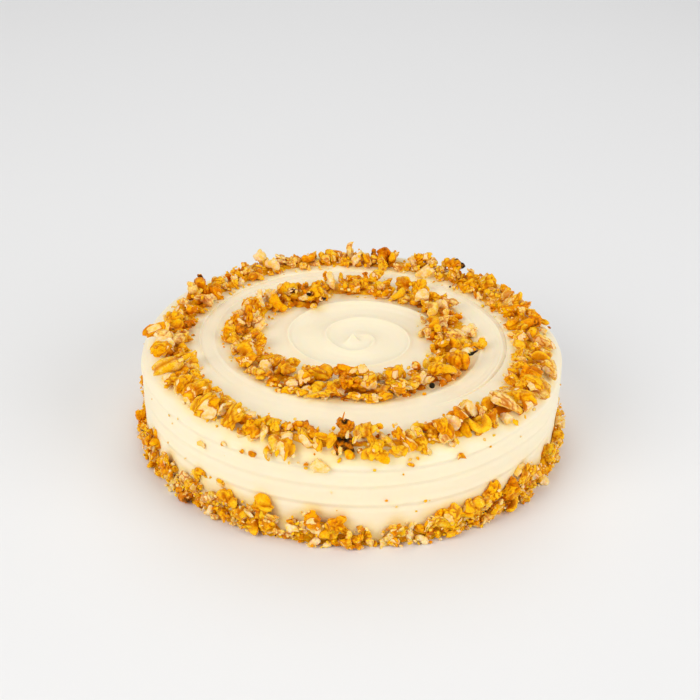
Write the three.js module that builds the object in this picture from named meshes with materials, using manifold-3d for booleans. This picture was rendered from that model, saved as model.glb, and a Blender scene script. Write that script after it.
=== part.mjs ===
// A round carrot cake, frosted all over, with chopped walnuts in two rings on its top and in a
// band around its foot. Millimetres, +Z up, origin at the centre of the cake's flat bottom.
// Angles run anticlockwise seen from above, from +X, and the front of the cake is at 270 degrees.

import * as THREE from 'three';
import { mergeVertices } from 'three/addons/utils/BufferGeometryUtils.js';
import Module from 'manifold-3d';

const wasm = await Module();
wasm.setup();

// The cake: a drum that widens a little from its foot to its shoulder.
const CAKE_HEIGHT = 51;
const CAKE_RADIUS = 104;
const FOOT_RADIUS = 103;
const SHOULDER_WIDTH = 11;
const SHOULDER_DROP = 9;
const CAKE_SIDES = 52;

// The swirl that a spatula leaves in the top: a low crisp ridge between broad shallow troughs,
// winding out clockwise from a small peak. The ridge's radius is given at so many turns out.
const SWIRL_TURNS = [-0.375, 3.2, 3.5, 3.85, 4.15, 4.5, 4.8];
const SWIRL_RADII = [0, 65.8, 69.5, 71, 75.3, 76, 84];
const SWIRL_PITCH = 18.4;
const SWIRL_START = 6.9;
const SWIRL_CENTRE = new THREE.Vector2(2.9, -2.2);
const SWIRL_END = 84;
const SWIRL_SAG = 2.6; // how far the first turn sags towards the front
const SAG_CENTRE = new THREE.Vector2(1, -15);
const SAG_REACH = new THREE.Vector2(9, 7);
const PLATEAU_START = 78;
const WORN_RADIUS = 67; // the ridge is nearly gone here
const WORN_WIDTH = 4;
const FADED_TURN = 3.6; // turns beyond this one are smoothed away towards the front
const FADED_SIDE = 262; // degrees
const TROUGH_DEPTH = 1.3;
const MEAN_RELIEF = 0.7;
const RIDGE_SHARPNESS = 2.2;
const ROWS_PER_TURN = 4;
const PEAK_HEIGHT = 3.3;
const PEAK_RADIUS = 3.4;
const PEAK_SIDES = 9;
const PEAK_PLACE = new THREE.Vector2(-0.8, -4.3);

// The nearly level lines that the scraper leaves around the side: proud just above each, set back
// just below. They rise towards one angle and dip at another.
const LINE_HIGH_SIDE = THREE.MathUtils.degToRad(338);
const LINE_DIP = 278; // degrees
const LINE_DIP_SPREAD = 35; // degrees
const SIDE_LINES = [
  { height: 22.2, rise: 1.0, dip: 2.4, amount: 0.34, width: 1.5 },
  { height: 31.0, rise: 2.0, dip: 0.8, amount: 0.26, width: 1.6 },
  { height: 41.6, rise: 2.4, dip: 3.4, amount: 0.42, width: 1.5 },
];
const LINE_TOP = 41.5; // the highest row of the side
const SHOULDER_ROWS = 4;

// The seat that the walnuts lie in: a smooth copy of the cake, a gap larger all over.
const SEAT_GAP = 0.35;
const SEAT_SIDES = 48;
const SEAT_SHOULDER_ROWS = 5;

// A broken piece of walnut: its width and thickness for a length of 1, how far its corners wander,
// how far it leans, and how high above what it lies on its middle is.
const PIECE_WIDTH = 0.72;
const PIECE_THICKNESS = 0.55;
const PIECE_UNEVENNESS = 0.3;
const PIECE_TILT = 0.8;
const ROUND_PIECE_LENGTH = 11.9;
const PIECE_LIFT = 0.16;
const ANGLE_JITTER = 0.05;
const GOLDEN_ANGLE = Math.PI * (3 - Math.sqrt(5));

const OUTER_RING = {
  radius: (angle) => 90 - 5.8 * Math.sin(angle) - 2.2 * Math.cos(2 * angle),
  halfWidth: (angle) => 7.2 + 0.8 * Math.sin(angle) + 1.3 * Math.cos(2 * angle),
  bedHeight: 3, spills: [], pieces: 34, largest: 12.5, smallest: 9.5, seed: 7,
};
// At a spill, given as angle in degrees, reach and spread in degrees, the walnuts reach further in.
const INNER_RING = {
  radius: () => 54.2,
  halfWidth: (angle) => 7.7 - 1.2 * Math.sin(angle),
  bedHeight: 2.8, spills: [[124, 15, 12], [10, 14, 22], [342, 6, 10]],
  pieces: 17, largest: 12, smallest: 9, seed: 21,
};
// The bed under the pieces, bumpy at this spacing, and how much higher than it a piece may lie.
const BUMP_LENGTH = 6.5;
const BED_UNEVENNESS = 0.4;
const HEAP_HEIGHT = 3.4;

const BASE_BAND = {
  height: 12.6, thickness: 2.6, reach: 109, pieces: 38, largest: 10.5, smallest: 8, seed: 33,
};
// Where the band around the foot is higher or lower: angle in degrees, by how much, and spread.
const BAND_MOUNDS = [
  [218, 5, 3.5], [229, 8, 2.6], [238, 3, 2.5], [248.5, 8, 3.2], [253.6, -9, 1.6], [258.5, 3, 1.5],
  [262, 5, 3], [271.5, -3, 3], [277, -9, 1.8], [285.5, -4, 2], [294, 3.5, 4], [308.5, 8, 3],
  [313.5, -3, 1.8], [320, 10, 2.4], [327, -1, 3], [334, 5, 4], [348, 6, 4], [8, 5, 6], [31, 7, 5],
  [45, -6, 4], [62, 5, 6], [84, 7, 4], [97, -6, 4], [113, 5, 5], [131, 7, 4], [143, -6, 3],
  [158, 5, 5], [176, 6, 4], [190, -4, 4], [204, 6, 4],
];

// The pieces that stand out by their size: angle in degrees, radius and length.
const LARGE_OUTER_PIECES = [
  [268.9, 98, 13], [276.2, 99.5, 12.5], [257.8, 98, 12], [252.8, 99, 11], [244.2, 97, 12],
  [289, 94, 13], [304.5, 91, 12.5], [314.8, 95, 16], [321, 97, 13], [333.5, 92, 12],
  [230, 97, 12.5], [218.4, 95, 12.5], [208.8, 94, 12.5], [197, 92, 13], [153, 87, 13],
  [124, 89, 12], [92, 89, 12], [54, 89, 12], [22, 89, 12.5],
];
const LARGE_INNER_PIECES = [
  [267, 47, 13], [297.5, 58, 12.5], [315, 57, 12.5], [24, 44, 12], [119, 40, 12], [126, 46, 11],
  [8, 42, 11], [352, 62, 9.5],
];
// Single pieces stuck to the side, clear of the ring: angle in degrees, height and length.
const SIDE_PIECES = [
  [262.7, 43, 8.5], [230.9, 35.5, 5], [243.4, 41.5, 5.5], [297.7, 43, 5],
];

const FROSTING_COLOUR = '#f8ebc9';
const WALNUT_COLOUR = '#dfa138';

/** The same numbers between 0 and 1 on every run, for one seed. */
function seededRandom(seed) {
  let state = seed;
  return () => {
    state = (Math.imul(state, 1664525) + 1013904223) >>> 0;
    return state / 4294967296;
  };
}

/** A solid from a closed geometry, or from its triangles with shared corners. */
function asSolid(geometry) {
  geometry.deleteAttribute('normal');
  geometry.deleteAttribute('uv');
  const merged = mergeVertices(geometry, 1e-4);
  const corners = merged.index.array;
  const triangles = [];
  for (let i = 0; i < corners.length; i += 3) {
    const [a, b, c] = [corners[i], corners[i + 1], corners[i + 2]];
    if (a !== b && b !== c && c !== a) triangles.push(a, b, c);
  }
  return new wasm.Manifold(new wasm.Mesh({
    numProp: 3,
    vertProperties: new Float32Array(merged.attributes.position.array),
    triVerts: new Uint32Array(triangles),
  }));
}

/** A solid turned about the Z axis from its outline's radii and heights. */
function turnedSolid(outline, sides) {
  const points = outline.map(([radius, height]) => new THREE.Vector2(radius, height));
  return asSolid(new THREE.LatheGeometry(points, sides).rotateX(Math.PI / 2));
}

/** The largest body of a solid, without loose scraps and sealed hollows. */
function largestBody(solid) {
  return solid.decompose().reduce((best, body) => (body.volume() > best.volume() ? body : best));
}

function asMesh(name, solid, material) {
  const mesh = solid.getMesh();
  const geometry = new THREE.BufferGeometry();
  geometry.setAttribute('position', new THREE.BufferAttribute(mesh.vertProperties, 3));
  geometry.setIndex(new THREE.BufferAttribute(mesh.triVerts, 1));
  geometry.computeVertexNormals();
  const piece = new THREE.Mesh(geometry, material);
  piece.name = name;
  return piece;
}

/** A skin over rows of points that each run once around, from angle 0 to a full turn. The rows go
 * out along the bottom, up the outside and back in over the top. */
function skinOverRows(rows) {
  const positions = [];
  const triangle = (...corners) => corners.forEach((corner) => positions.push(...corner.toArray()));
  for (let row = 0; row + 1 < rows.length; row += 1) {
    const [lower, upper] = [rows[row], rows[row + 1]];
    for (let column = 0; column + 1 < lower.length; column += 1) {
      triangle(lower[column], lower[column + 1], upper[column + 1]);
      triangle(lower[column], upper[column + 1], upper[column]);
    }
  }
  const geometry = new THREE.BufferGeometry();
  geometry.setAttribute('position', new THREE.Float32BufferAttribute(positions, 3));
  return geometry;
}

/** The angles from 0 to a full turn, both ends included. */
function fullTurn(sides) {
  return Array.from({ length: sides + 1 }, (_, i) => (2 * Math.PI * i) / sides);
}

function polar(radius, angle, height) {
  return new THREE.Vector3(radius * Math.cos(angle), radius * Math.sin(angle), height);
}

/** The smooth cake's radius at a height up the side, without grooves. */
function sideRadius(height) {
  const shoulderStart = CAKE_HEIGHT - SHOULDER_DROP;
  if (height <= shoulderStart) {
    return THREE.MathUtils.lerp(FOOT_RADIUS, CAKE_RADIUS, Math.max(height, 0) / shoulderStart);
  }
  const rise = (height - shoulderStart) / SHOULDER_DROP;
  return CAKE_RADIUS - SHOULDER_WIDTH * (1 - Math.sqrt(Math.max(0, 1 - rise ** 2)));
}

/** The smooth cake's height at a radius, on the flat top and over the shoulder. */
function topHeight(radius) {
  const out = THREE.MathUtils.clamp((radius - CAKE_RADIUS + SHOULDER_WIDTH) / SHOULDER_WIDTH, 0, 1);
  return CAKE_HEIGHT - SHOULDER_DROP * (1 - Math.sqrt(1 - out ** 2));
}

/** The radius and height of the shoulder's rows, from the side up to the top. */
function shoulderOutline(steps) {
  return Array.from({ length: steps + 1 }, (_, i) => {
    const slope = (0.5 * Math.PI * i) / steps;
    const radius = CAKE_RADIUS - SHOULDER_WIDTH * (1 - Math.cos(slope));
    return [radius, CAKE_HEIGHT - SHOULDER_DROP * (1 - Math.sin(slope))];
  });
}

/** How many degrees an angle in radians is away from one in degrees, between -180 and 180. */
function awayFrom(angle, degrees) {
  return THREE.MathUtils.euclideanModulo(THREE.MathUtils.radToDeg(angle) - degrees + 180, 360) - 180;
}

/** The height of one of the scraper's lines at an angle. */
function lineHeight({ height, rise, dip }, angle) {
  const dipped = Math.exp(-((awayFrom(angle, LINE_DIP) / LINE_DIP_SPREAD) ** 2));
  return height + rise * Math.cos(angle - LINE_HIGH_SIDE) - dip * dipped;
}

/** How far the side is set back at a height, less than 0 where it stands proud. */
function lineDepth(height, angle) {
  return SIDE_LINES.reduce((sum, line) => {
    const across = (height - lineHeight(line, angle)) / line.width;
    return sum - line.amount * Math.sqrt(2 * Math.E) * across * Math.exp(-(across ** 2));
  }, 0);
}

/** The heights of the side's rows at an angle: a row below and one above each line. */
function sideHeights(angle) {
  const heights = [0, 17];
  for (const line of SIDE_LINES) {
    const middle = lineHeight(line, angle);
    heights.push(middle - 0.75 * line.width, middle + 0.75 * line.width);
  }
  return heights.map((height, i) => Math.min(height, LINE_TOP - 0.4 * (heights.length - 1 - i)));
}

/** The value at a place among rising knots, evenly between each two. */
function between(value, knots, values) {
  const next = knots.findIndex((knot) => value <= knot);
  if (next < 1) return next === 0 ? values[0] : values.at(-1);
  const share = (value - knots[next - 1]) / (knots[next] - knots[next - 1]);
  return THREE.MathUtils.lerp(values[next - 1], values[next], share);
}

function swirlRadius(turns) {
  return between(turns, SWIRL_TURNS, SWIRL_RADII);
}

/** How much further out the ridge of the swirl's first turn lies at a place. */
function swirlSag(x, y) {
  const off = ((x - SAG_CENTRE.x) / SAG_REACH.x) ** 2 + ((y - SAG_CENTRE.y) / SAG_REACH.y) ** 2;
  return SWIRL_SAG * Math.exp(-off);
}

/** How much of the swirl's relief is left at so many turns out, an angle and a radius. */
function reliefLeft(out, angle, radius) {
  const fromFront = THREE.MathUtils.smoothstep(Math.abs(awayFrom(angle, FADED_SIDE)), 30, 60);
  const beyond = THREE.MathUtils.smoothstep(out, FADED_TURN - 0.25, FADED_TURN);
  const inside = THREE.MathUtils.smoothstep(PLATEAU_START - radius, 0, 2.5);
  return inside * (1 - (1 - fromFront) * beyond);
}

/** The height of the swirled top: ridges at CAKE_HEIGHT and troughs below them. */
function swirlHeight(x, y) {
  const centring = 1 - Math.min(1, Math.hypot(x, y) / SWIRL_END) ** 2;
  const u = x - SWIRL_CENTRE.x * centring;
  const v = y - SWIRL_CENTRE.y * centring;
  const radius = Math.hypot(u, v) - swirlSag(x, y);
  const angle = Math.atan2(v, u);
  const out = between(radius, SWIRL_RADII, SWIRL_TURNS);
  const turns = out + angle / (2 * Math.PI);
  const fromRidge = Math.abs(turns - Math.round(turns)) * 2;
  const pitch = swirlRadius(out + 0.5) - swirlRadius(out - 0.5);
  const shallow = THREE.MathUtils.clamp(pitch / SWIRL_PITCH, 0.3, 1);
  const worn = 0.6 * Math.exp(-(((radius - WORN_RADIUS) / WORN_WIDTH) ** 2));
  const trough = shallow * (1 - (1 - fromRidge) ** RIDGE_SHARPNESS);
  const fadeIn = THREE.MathUtils.smoothstep(radius, 0, SWIRL_START);
  const relief = THREE.MathUtils.lerp(MEAN_RELIEF, trough, fadeIn * (1 - worn));
  return CAKE_HEIGHT - TROUGH_DEPTH * relief * reliefLeft(out, angle, radius);
}

/** A point of the top, so many turns out along the swirl at an angle. */
function swirlPoint(turns, angle) {
  const radius = swirlRadius(turns);
  const centring = 1 - (radius / SWIRL_END) ** 2;
  const middle = SWIRL_CENTRE.clone().multiplyScalar(centring);
  const flat = polar(radius, angle, 0);
  const sag = swirlSag(flat.x + middle.x, flat.y + middle.y);
  const sagged = radius + sag * Math.min(1, radius / SWIRL_START);
  const x = sagged * Math.cos(angle) + middle.x;
  const y = sagged * Math.sin(angle) + middle.y;
  return new THREE.Vector3(x, y, swirlHeight(x, y));
}

/** The frosted cake: rows of points from the middle of the bottom, up the side and over the top. */
function frostedCake() {
  const angles = fullTurn(CAKE_SIDES);
  const rows = [angles.map(() => new THREE.Vector3())];
  for (let row = 0; row < sideHeights(0).length; row += 1) {
    rows.push(angles.map((angle) => {
      const height = sideHeights(angle)[row];
      return polar(sideRadius(height) - lineDepth(height, angle), angle, height);
    }));
  }
  for (const [radius, height] of shoulderOutline(SHOULDER_ROWS)) {
    rows.push(angles.map((angle) => polar(radius, angle, height)));
  }
  // The rows of the top wind inwards with the swirl, so that its ridge lies along them.
  const topRows = Math.ceil((SWIRL_TURNS.at(-1) + 2) * ROWS_PER_TURN);
  for (let row = topRows; row >= 0; row -= 1) {
    rows.push(angles.map((angle) => (
      swirlPoint(row / ROWS_PER_TURN - 1 - angle / (2 * Math.PI), angle))));
  }
  return asSolid(skinOverRows(rows));
}

/** The small peak that the spatula pulled up where the swirl starts. */
function swirlPeak() {
  const foot = CAKE_HEIGHT - 2 * TROUGH_DEPTH;
  const outline = [
    [0, foot], [PEAK_RADIUS, foot], [0.85 * PEAK_RADIUS, CAKE_HEIGHT - TROUGH_DEPTH],
    [0.4 * PEAK_RADIUS, CAKE_HEIGHT + 0.3 * PEAK_HEIGHT], [0, CAKE_HEIGHT + PEAK_HEIGHT],
  ];
  return turnedSolid(outline, PEAK_SIDES).translate([PEAK_PLACE.x, PEAK_PLACE.y, 0]);
}

/** The smooth copy of the cake, around which its flat sides are drawn, that cuts the seat. */
function seatOfCake() {
  const around = 1 / Math.cos(Math.PI / SEAT_SIDES);
  const footRadius = (FOOT_RADIUS + SEAT_GAP) * around;
  const outline = [[0, -CAKE_HEIGHT], [footRadius, -CAKE_HEIGHT], [footRadius, 0]];
  for (const [radius, height] of shoulderOutline(SEAT_SHOULDER_ROWS)) {
    outline.push([(radius + SEAT_GAP) * around, height + SEAT_GAP]);
  }
  outline.push([0, CAKE_HEIGHT + SEAT_GAP]);
  return turnedSolid(outline, SEAT_SIDES);
}

/** One broken piece of walnut: an uneven lump, rounded if large and cut square if small. */
function walnutPiece(centre, length, random) {
  const geometry = length > ROUND_PIECE_LENGTH
    ? new THREE.IcosahedronGeometry(1.1, 0)
    : new THREE.BoxGeometry(1.5, 1.5, 1.5);
  geometry.deleteAttribute('normal');
  geometry.deleteAttribute('uv');
  const lump = mergeVertices(geometry, 1e-4);
  const corners = lump.attributes.position;
  const corner = new THREE.Vector3();
  for (let i = 0; i < corners.count; i += 1) {
    corner.fromBufferAttribute(corners, i);
    corner.multiplyScalar(1 + PIECE_UNEVENNESS * (2 * random() - 1));
    corners.setXYZ(i, corner.x, corner.y, corner.z);
  }
  lump.scale(length / 2, (length / 2) * PIECE_WIDTH, (length / 2) * PIECE_THICKNESS);
  const tilt = () => PIECE_TILT * (2 * random() - 1);
  const turned = new THREE.Euler(tilt(), tilt(), 2 * Math.PI * random(), 'ZYX');
  lump.applyMatrix4(new THREE.Matrix4().makeRotationFromEuler(turned));
  lump.translate(centre.x, centre.y, centre.z);
  return asSolid(lump);
}

/** A solid ring from its cross-section, with a corner of it moved by pointAt at each bump. */
function bumpyRing(outline, radius, pointAt) {
  const bumps = Math.round((2 * Math.PI * radius) / BUMP_LENGTH);
  const rows = outline.map(([across, up]) => {
    const row = Array.from({ length: bumps }, (_, i) => pointAt(across, up, (2 * Math.PI * i) / bumps));
    return [...row, row[0]];
  });
  return asSolid(skinOverRows([...rows, rows[0]]));
}

/** How much further in than its usual edge a ring reaches at an angle. */
function spillReach(spills, angle) {
  return spills.reduce((sum, [middle, reach, spread]) => (
    sum + reach * Math.exp(-((awayFrom(angle, middle) / spread) ** 2))), 0);
}

/** The bed of a ring of walnuts, bumpy as its pieces, with its foot sunk for the seat to cut. */
function ringBed({ radius, halfWidth, bedHeight, spills, seed }) {
  const random = seededRandom(seed + 1);
  const outline = [[-1, -1], [1, -1], [0.9, 0.2], [0.4, 1], [-0.4, 1], [-0.9, 0.2]];
  return bumpyRing(outline, radius(0), (across, up, angle) => {
    const spill = across < 0 ? -across * spillReach(spills, angle) : 0;
    const uneven = BED_UNEVENNESS * (random() - 0.5);
    const r = radius(angle) - spill + halfWidth(angle) * (0.85 * across + uneven);
    return polar(r, angle, topHeight(r) + bedHeight * up * (0.4 + 1.5 * random()));
  });
}

/** The pieces of a ring: the large ones by hand, then the rest around it, the largest first. */
function ringPieces(ring, largePieces) {
  const { radius, halfWidth, bedHeight, pieces, largest, smallest, seed } = ring;
  const random = seededRandom(seed);
  const solids = largePieces.map(([degrees, r, length]) => {
    const lift = 0.5 * bedHeight + PIECE_LIFT * length;
    const centre = polar(r, THREE.MathUtils.degToRad(degrees), topHeight(r) + lift);
    return walnutPiece(centre, length, random);
  });
  for (let i = 0; i < pieces; i += 1) {
    const length = THREE.MathUtils.lerp(largest, smallest, Math.sqrt(i / pieces));
    const across = 2 * random() - 1;
    const heap = HEAP_HEIGHT * (1 - across ** 2) * random();
    const angle = i * GOLDEN_ANGLE + ANGLE_JITTER * random();
    const r = radius(angle) + halfWidth(angle) * across;
    const centre = polar(r, angle, topHeight(r) + heap + PIECE_LIFT * length);
    solids.push(walnutPiece(centre, length, random));
  }
  return solids;
}

/** The height of the band around the foot at an angle. */
function bandTop(height, angle) {
  return BAND_MOUNDS.reduce((sum, [middle, rise, spread]) => (
    sum + rise * Math.exp(-((awayFrom(angle, middle) / spread) ** 2))), height);
}

/** The bumpy band of walnut around the cake's foot, thinner towards its top. */
function bandBed({ height, thickness, seed }) {
  const random = seededRandom(seed + 1);
  const outline = [[-1, 0], [1, 0], [1.25, 0.25], [1, 0.55], [0.5, 0.85], [-1, 0.9]];
  return bumpyRing(outline, FOOT_RADIUS, (out, up, angle) => {
    const r = FOOT_RADIUS + thickness * out * (0.65 + 0.7 * random());
    return polar(r, angle, bandTop(height, angle) * up * (0.75 + 0.5 * random()));
  });
}

function bandPieces({ height, thickness, pieces, largest, smallest, seed }) {
  const random = seededRandom(seed);
  return Array.from({ length: pieces }, (_, i) => {
    const length = THREE.MathUtils.lerp(largest, smallest, Math.sqrt(i / pieces));
    const up = random();
    const out = FOOT_RADIUS + thickness * (1.2 - 0.7 * up);
    const angle = i * GOLDEN_ANGLE + ANGLE_JITTER * random();
    const top = 0.8 * bandTop(height, angle);
    return walnutPiece(polar(out, angle, 0.2 * length + top * up), length, random);
  });
}

/** The round space above the floor that the band around the foot keeps inside. */
function bandLimits({ reach }) {
  return turnedSolid([[0, 0], [reach, 0], [reach, CAKE_HEIGHT], [0, CAKE_HEIGHT]], SEAT_SIDES);
}

/** The single pieces on the side, each a little larger by growth for the seat that clears them. */
function sidePieces(growth) {
  const random = seededRandom(5);
  return SIDE_PIECES.map(([degrees, height, length]) => {
    const centre = polar(sideRadius(height), THREE.MathUtils.degToRad(degrees), height);
    return walnutPiece(centre, length + growth, random);
  });
}

function walnutNode(name, bed, pieces, limits) {
  let solid = wasm.Manifold.union([bed, ...pieces]).subtract(seat);
  if (limits) solid = solid.intersect(limits);
  return asMesh(name, largestBody(solid), walnut);
}

const frosting = new THREE.MeshStandardMaterial({
  color: FROSTING_COLOUR, roughness: 0.55, metalness: 0,
});
const walnut = new THREE.MeshStandardMaterial({
  color: WALNUT_COLOUR, roughness: 0.5, metalness: 0,
});

const cake = largestBody(wasm.Manifold.union([frostedCake(), swirlPeak(), ...sidePieces(0)]));
const seat = wasm.Manifold.union([seatOfCake(), ...sidePieces(2 * SEAT_GAP)]);

const group = new THREE.Group();
group.add(asMesh('frosted_cake', cake, frosting));
group.add(walnutNode('walnut_ring_outer', ringBed(OUTER_RING), ringPieces(OUTER_RING, LARGE_OUTER_PIECES)));
group.add(walnutNode('walnut_ring_inner', ringBed(INNER_RING), ringPieces(INNER_RING, LARGE_INNER_PIECES)));
group.add(walnutNode('walnut_band_base', bandBed(BASE_BAND), bandPieces(BASE_BAND), bandLimits(BASE_BAND)));

export default group;
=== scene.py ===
"""A frosted carrot cake with two rings and a foot band of chopped walnuts, dressed over its frame.

Lengths in the sections on shapes are millimetres, in the frame's own axes: +Z up, the origin at the
centre of the flat bottom, angles anticlockwise from +X with the front of the cake at 270 degrees.
"""

import math

import bmesh
import bpy
import numpy as np
from mathutils import Matrix


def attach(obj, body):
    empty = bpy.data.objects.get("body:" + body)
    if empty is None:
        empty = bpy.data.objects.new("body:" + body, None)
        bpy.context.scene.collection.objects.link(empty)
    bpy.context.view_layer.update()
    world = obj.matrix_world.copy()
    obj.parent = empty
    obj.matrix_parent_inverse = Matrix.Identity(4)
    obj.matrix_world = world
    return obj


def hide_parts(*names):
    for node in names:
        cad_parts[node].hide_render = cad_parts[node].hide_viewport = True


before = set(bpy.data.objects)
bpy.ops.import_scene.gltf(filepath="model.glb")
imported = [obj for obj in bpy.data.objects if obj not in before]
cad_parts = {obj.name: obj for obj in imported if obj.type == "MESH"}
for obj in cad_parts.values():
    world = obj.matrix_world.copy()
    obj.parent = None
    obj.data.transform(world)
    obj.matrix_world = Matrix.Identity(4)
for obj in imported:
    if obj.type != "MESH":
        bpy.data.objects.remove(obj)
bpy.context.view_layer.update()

bl_info = {
    "name": "Frosted Carrot Cake",
    "version": (1, 0, 0),
    "blender": (4, 5, 0),
    "location": "View3D > Sidebar > Cake",
    "description": "Builds a frosted carrot cake with chopped walnuts",
    "category": "Object",
}

MM = 0.001
FULL_TURN = 2 * math.pi

# The cake: a drum that widens a little from its foot to its shoulder.
CAKE_HEIGHT = 51
CAKE_RADIUS = 104
FOOT_RADIUS = 103
SHOULDER_WIDTH = 11
SHOULDER_DROP = 9
FOOT_ROUNDING = 0.8
SHOULDER_ROWS = 19
EDGE_ROWS = 10  # between the shoulder and the swirl
SWIRL_STEP = 0.8  # rows on the swirl are this many times as far apart as on the side

# The swirl in the top: broad troughs with a thin raised lip between them, winding out clockwise
# from a small crest that the spatula pulled up. The lip's radius is given at so many turns out.
SWIRL_TURNS = (-0.375, 3.2, 3.5, 3.85, 4.15, 4.5, 4.8)
SWIRL_RADII = (0, 65.8, 69.5, 71, 75.3, 76, 84)
SWIRL_PITCH = 18.4
SWIRL_START = 6.9
SWIRL_CENTRE = (2.9, -2.2)
SWIRL_END = 84
SWIRL_SAG = 2.6  # how far the first turn sags towards the front
SAG_CENTRE = (1, -15)
SAG_REACH = (9, 7)
PLATEAU_START = 78
PLATEAU_RAMP = 2.5
WORN_RADIUS = 67  # the lip is nearly gone here
WORN_WIDTH = 4.5
FADED_TURN = 3.3  # turns beyond this one are smoothed away towards the front
FADED_SIDE = 262  # degrees
FADED_SPREAD = (30, 60)  # they come back between these distances from it, in degrees
TROUGH_DEPTH = 1.3
TROUGH_POWER = 2.2
TROUGH_WEAR = 0.6  # share of the relief that is gone at WORN_RADIUS
NARROW_POWER = 1.6  # how fast a trough gets shallower as it gets narrower
SHALLOWEST = 0.2  # a narrow trough keeps this share of its depth
MEAN_DEPTH = 0.7  # depth of the smoothed parts, as a share of a trough's
LIP_HEIGHT = 0.55
LIP_WIDTH = 0.9
LIP_WEAR = 0.75  # share of the lip that is gone at WORN_RADIUS
CREST_TIP = (0.0, -2.9)
CREST_TAIL = (-5.6, -9.6)
CREST_HEIGHT = 3.3
CREST_WIDTH = 2.2
CREST_STEEP_SIDE = 0.62  # its steep side's width, as a share of the other's

# The nearly level lines that the scraper leaves around the side: proud just above each, set back
# just below. They rise towards one angle and dip at another.
LINE_HIGH_SIDE = math.radians(338)
LINE_DIP = 278  # degrees
LINE_DIP_SPREAD = 35  # degrees
# Height, rise, dip, how far proud and set back, and the distance over which it changes.
SIDE_LINES = [
    (41.6, 2.4, 3.4, 0.36, 1.5), (31.0, 2.0, 0.8, 0.26, 1.6), (22.2, 1.0, 2.4, 0.34, 1.5),
]

# How far a hand-held spatula leaves the frosting in or out: broad swells and fine streaks.
SIDE_SWELL = 0.35
SIDE_STREAK = 0.05
TOP_SWELL = 0.3
TOP_STREAK = 0.05


# ---------------------------------------------------------------- numbers


class SeededRandom:
    """The same numbers on every run, for one seed."""

    def __init__(self, seed):
        self.numbers = np.random.RandomState(seed)

    def between(self, low, high):
        return low + (high - low) * self.numbers.random_sample()

    def spread(self, amount):
        return self.between(-amount, amount)

    def direction(self):
        vector = self.numbers.normal(size=3)
        return vector / np.linalg.norm(vector)

    def chance(self, share):
        return self.numbers.random_sample() < share


def smoothstep(value, low, high):
    share = np.clip((value - low) / (high - low), 0, 1)
    return share * share * (3 - 2 * share)


def soft_noise(points, length, seed, waves=14):
    """Smooth unevenness of about that wavelength at each point, mostly between -1 and 1."""
    random = np.random.RandomState(seed)
    directions = random.normal(size=(waves, points.shape[1]))
    directions /= np.linalg.norm(directions, axis=1)[:, None]
    counts = FULL_TURN / (length * random.uniform(0.7, 1.5, waves))
    phases = random.uniform(0, FULL_TURN, waves)
    waves_there = np.cos(points @ (directions * counts[:, None]).T + phases)
    return waves_there.sum(1) * math.sqrt(2 / waves) * 0.6


# ---------------------------------------------------------------- the cake's surface


def side_radius(height):
    """The smooth cake's radius at each height up the side."""
    shoulder_start = CAKE_HEIGHT - SHOULDER_DROP
    share = np.clip(height / shoulder_start, 0, 1)
    straight = FOOT_RADIUS + (CAKE_RADIUS - FOOT_RADIUS) * share
    rise = np.clip((height - shoulder_start) / SHOULDER_DROP, 0, 1)
    return straight - SHOULDER_WIDTH * (1 - np.sqrt(1 - rise**2))


def away_from(angle, degrees):
    """How many degrees an angle in radians is away from one in degrees, between -180 and 180."""
    return (np.degrees(angle) - degrees + 180) % 360 - 180


def line_depth(height, angle):
    """How far the side is set back at the scraper's lines, less than 0 where it stands proud."""
    depth = np.zeros(np.broadcast(height, angle).shape)
    dipped = np.exp(-((away_from(angle, LINE_DIP) / LINE_DIP_SPREAD) ** 2))
    for middle, rise, dip, amount, width in SIDE_LINES:
        wander = rise * np.cos(angle - LINE_HIGH_SIDE) - dip * dipped + 0.4 * np.sin(5 * angle + middle)
        across = (height - middle - wander) / width
        depth = depth - amount * math.sqrt(2 * math.e) * across * np.exp(-(across**2))
    return depth


def swirl_radius(turns):
    return np.interp(turns, SWIRL_TURNS, SWIRL_RADII)


def swirl_place(x, y):
    """Where each point lies on the swirl: turns out from its middle, angle in turns, radius."""
    centring = 1 - np.minimum(1, np.hypot(x, y) / SWIRL_END) ** 2
    u = x - SWIRL_CENTRE[0] * centring
    v = y - SWIRL_CENTRE[1] * centring
    off = ((x - SAG_CENTRE[0]) / SAG_REACH[0]) ** 2 + ((y - SAG_CENTRE[1]) / SAG_REACH[1]) ** 2
    radius = np.hypot(u, v) - SWIRL_SAG * np.exp(-off)
    return np.interp(radius, SWIRL_RADII, SWIRL_TURNS), np.arctan2(v, u) / FULL_TURN, radius


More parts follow.
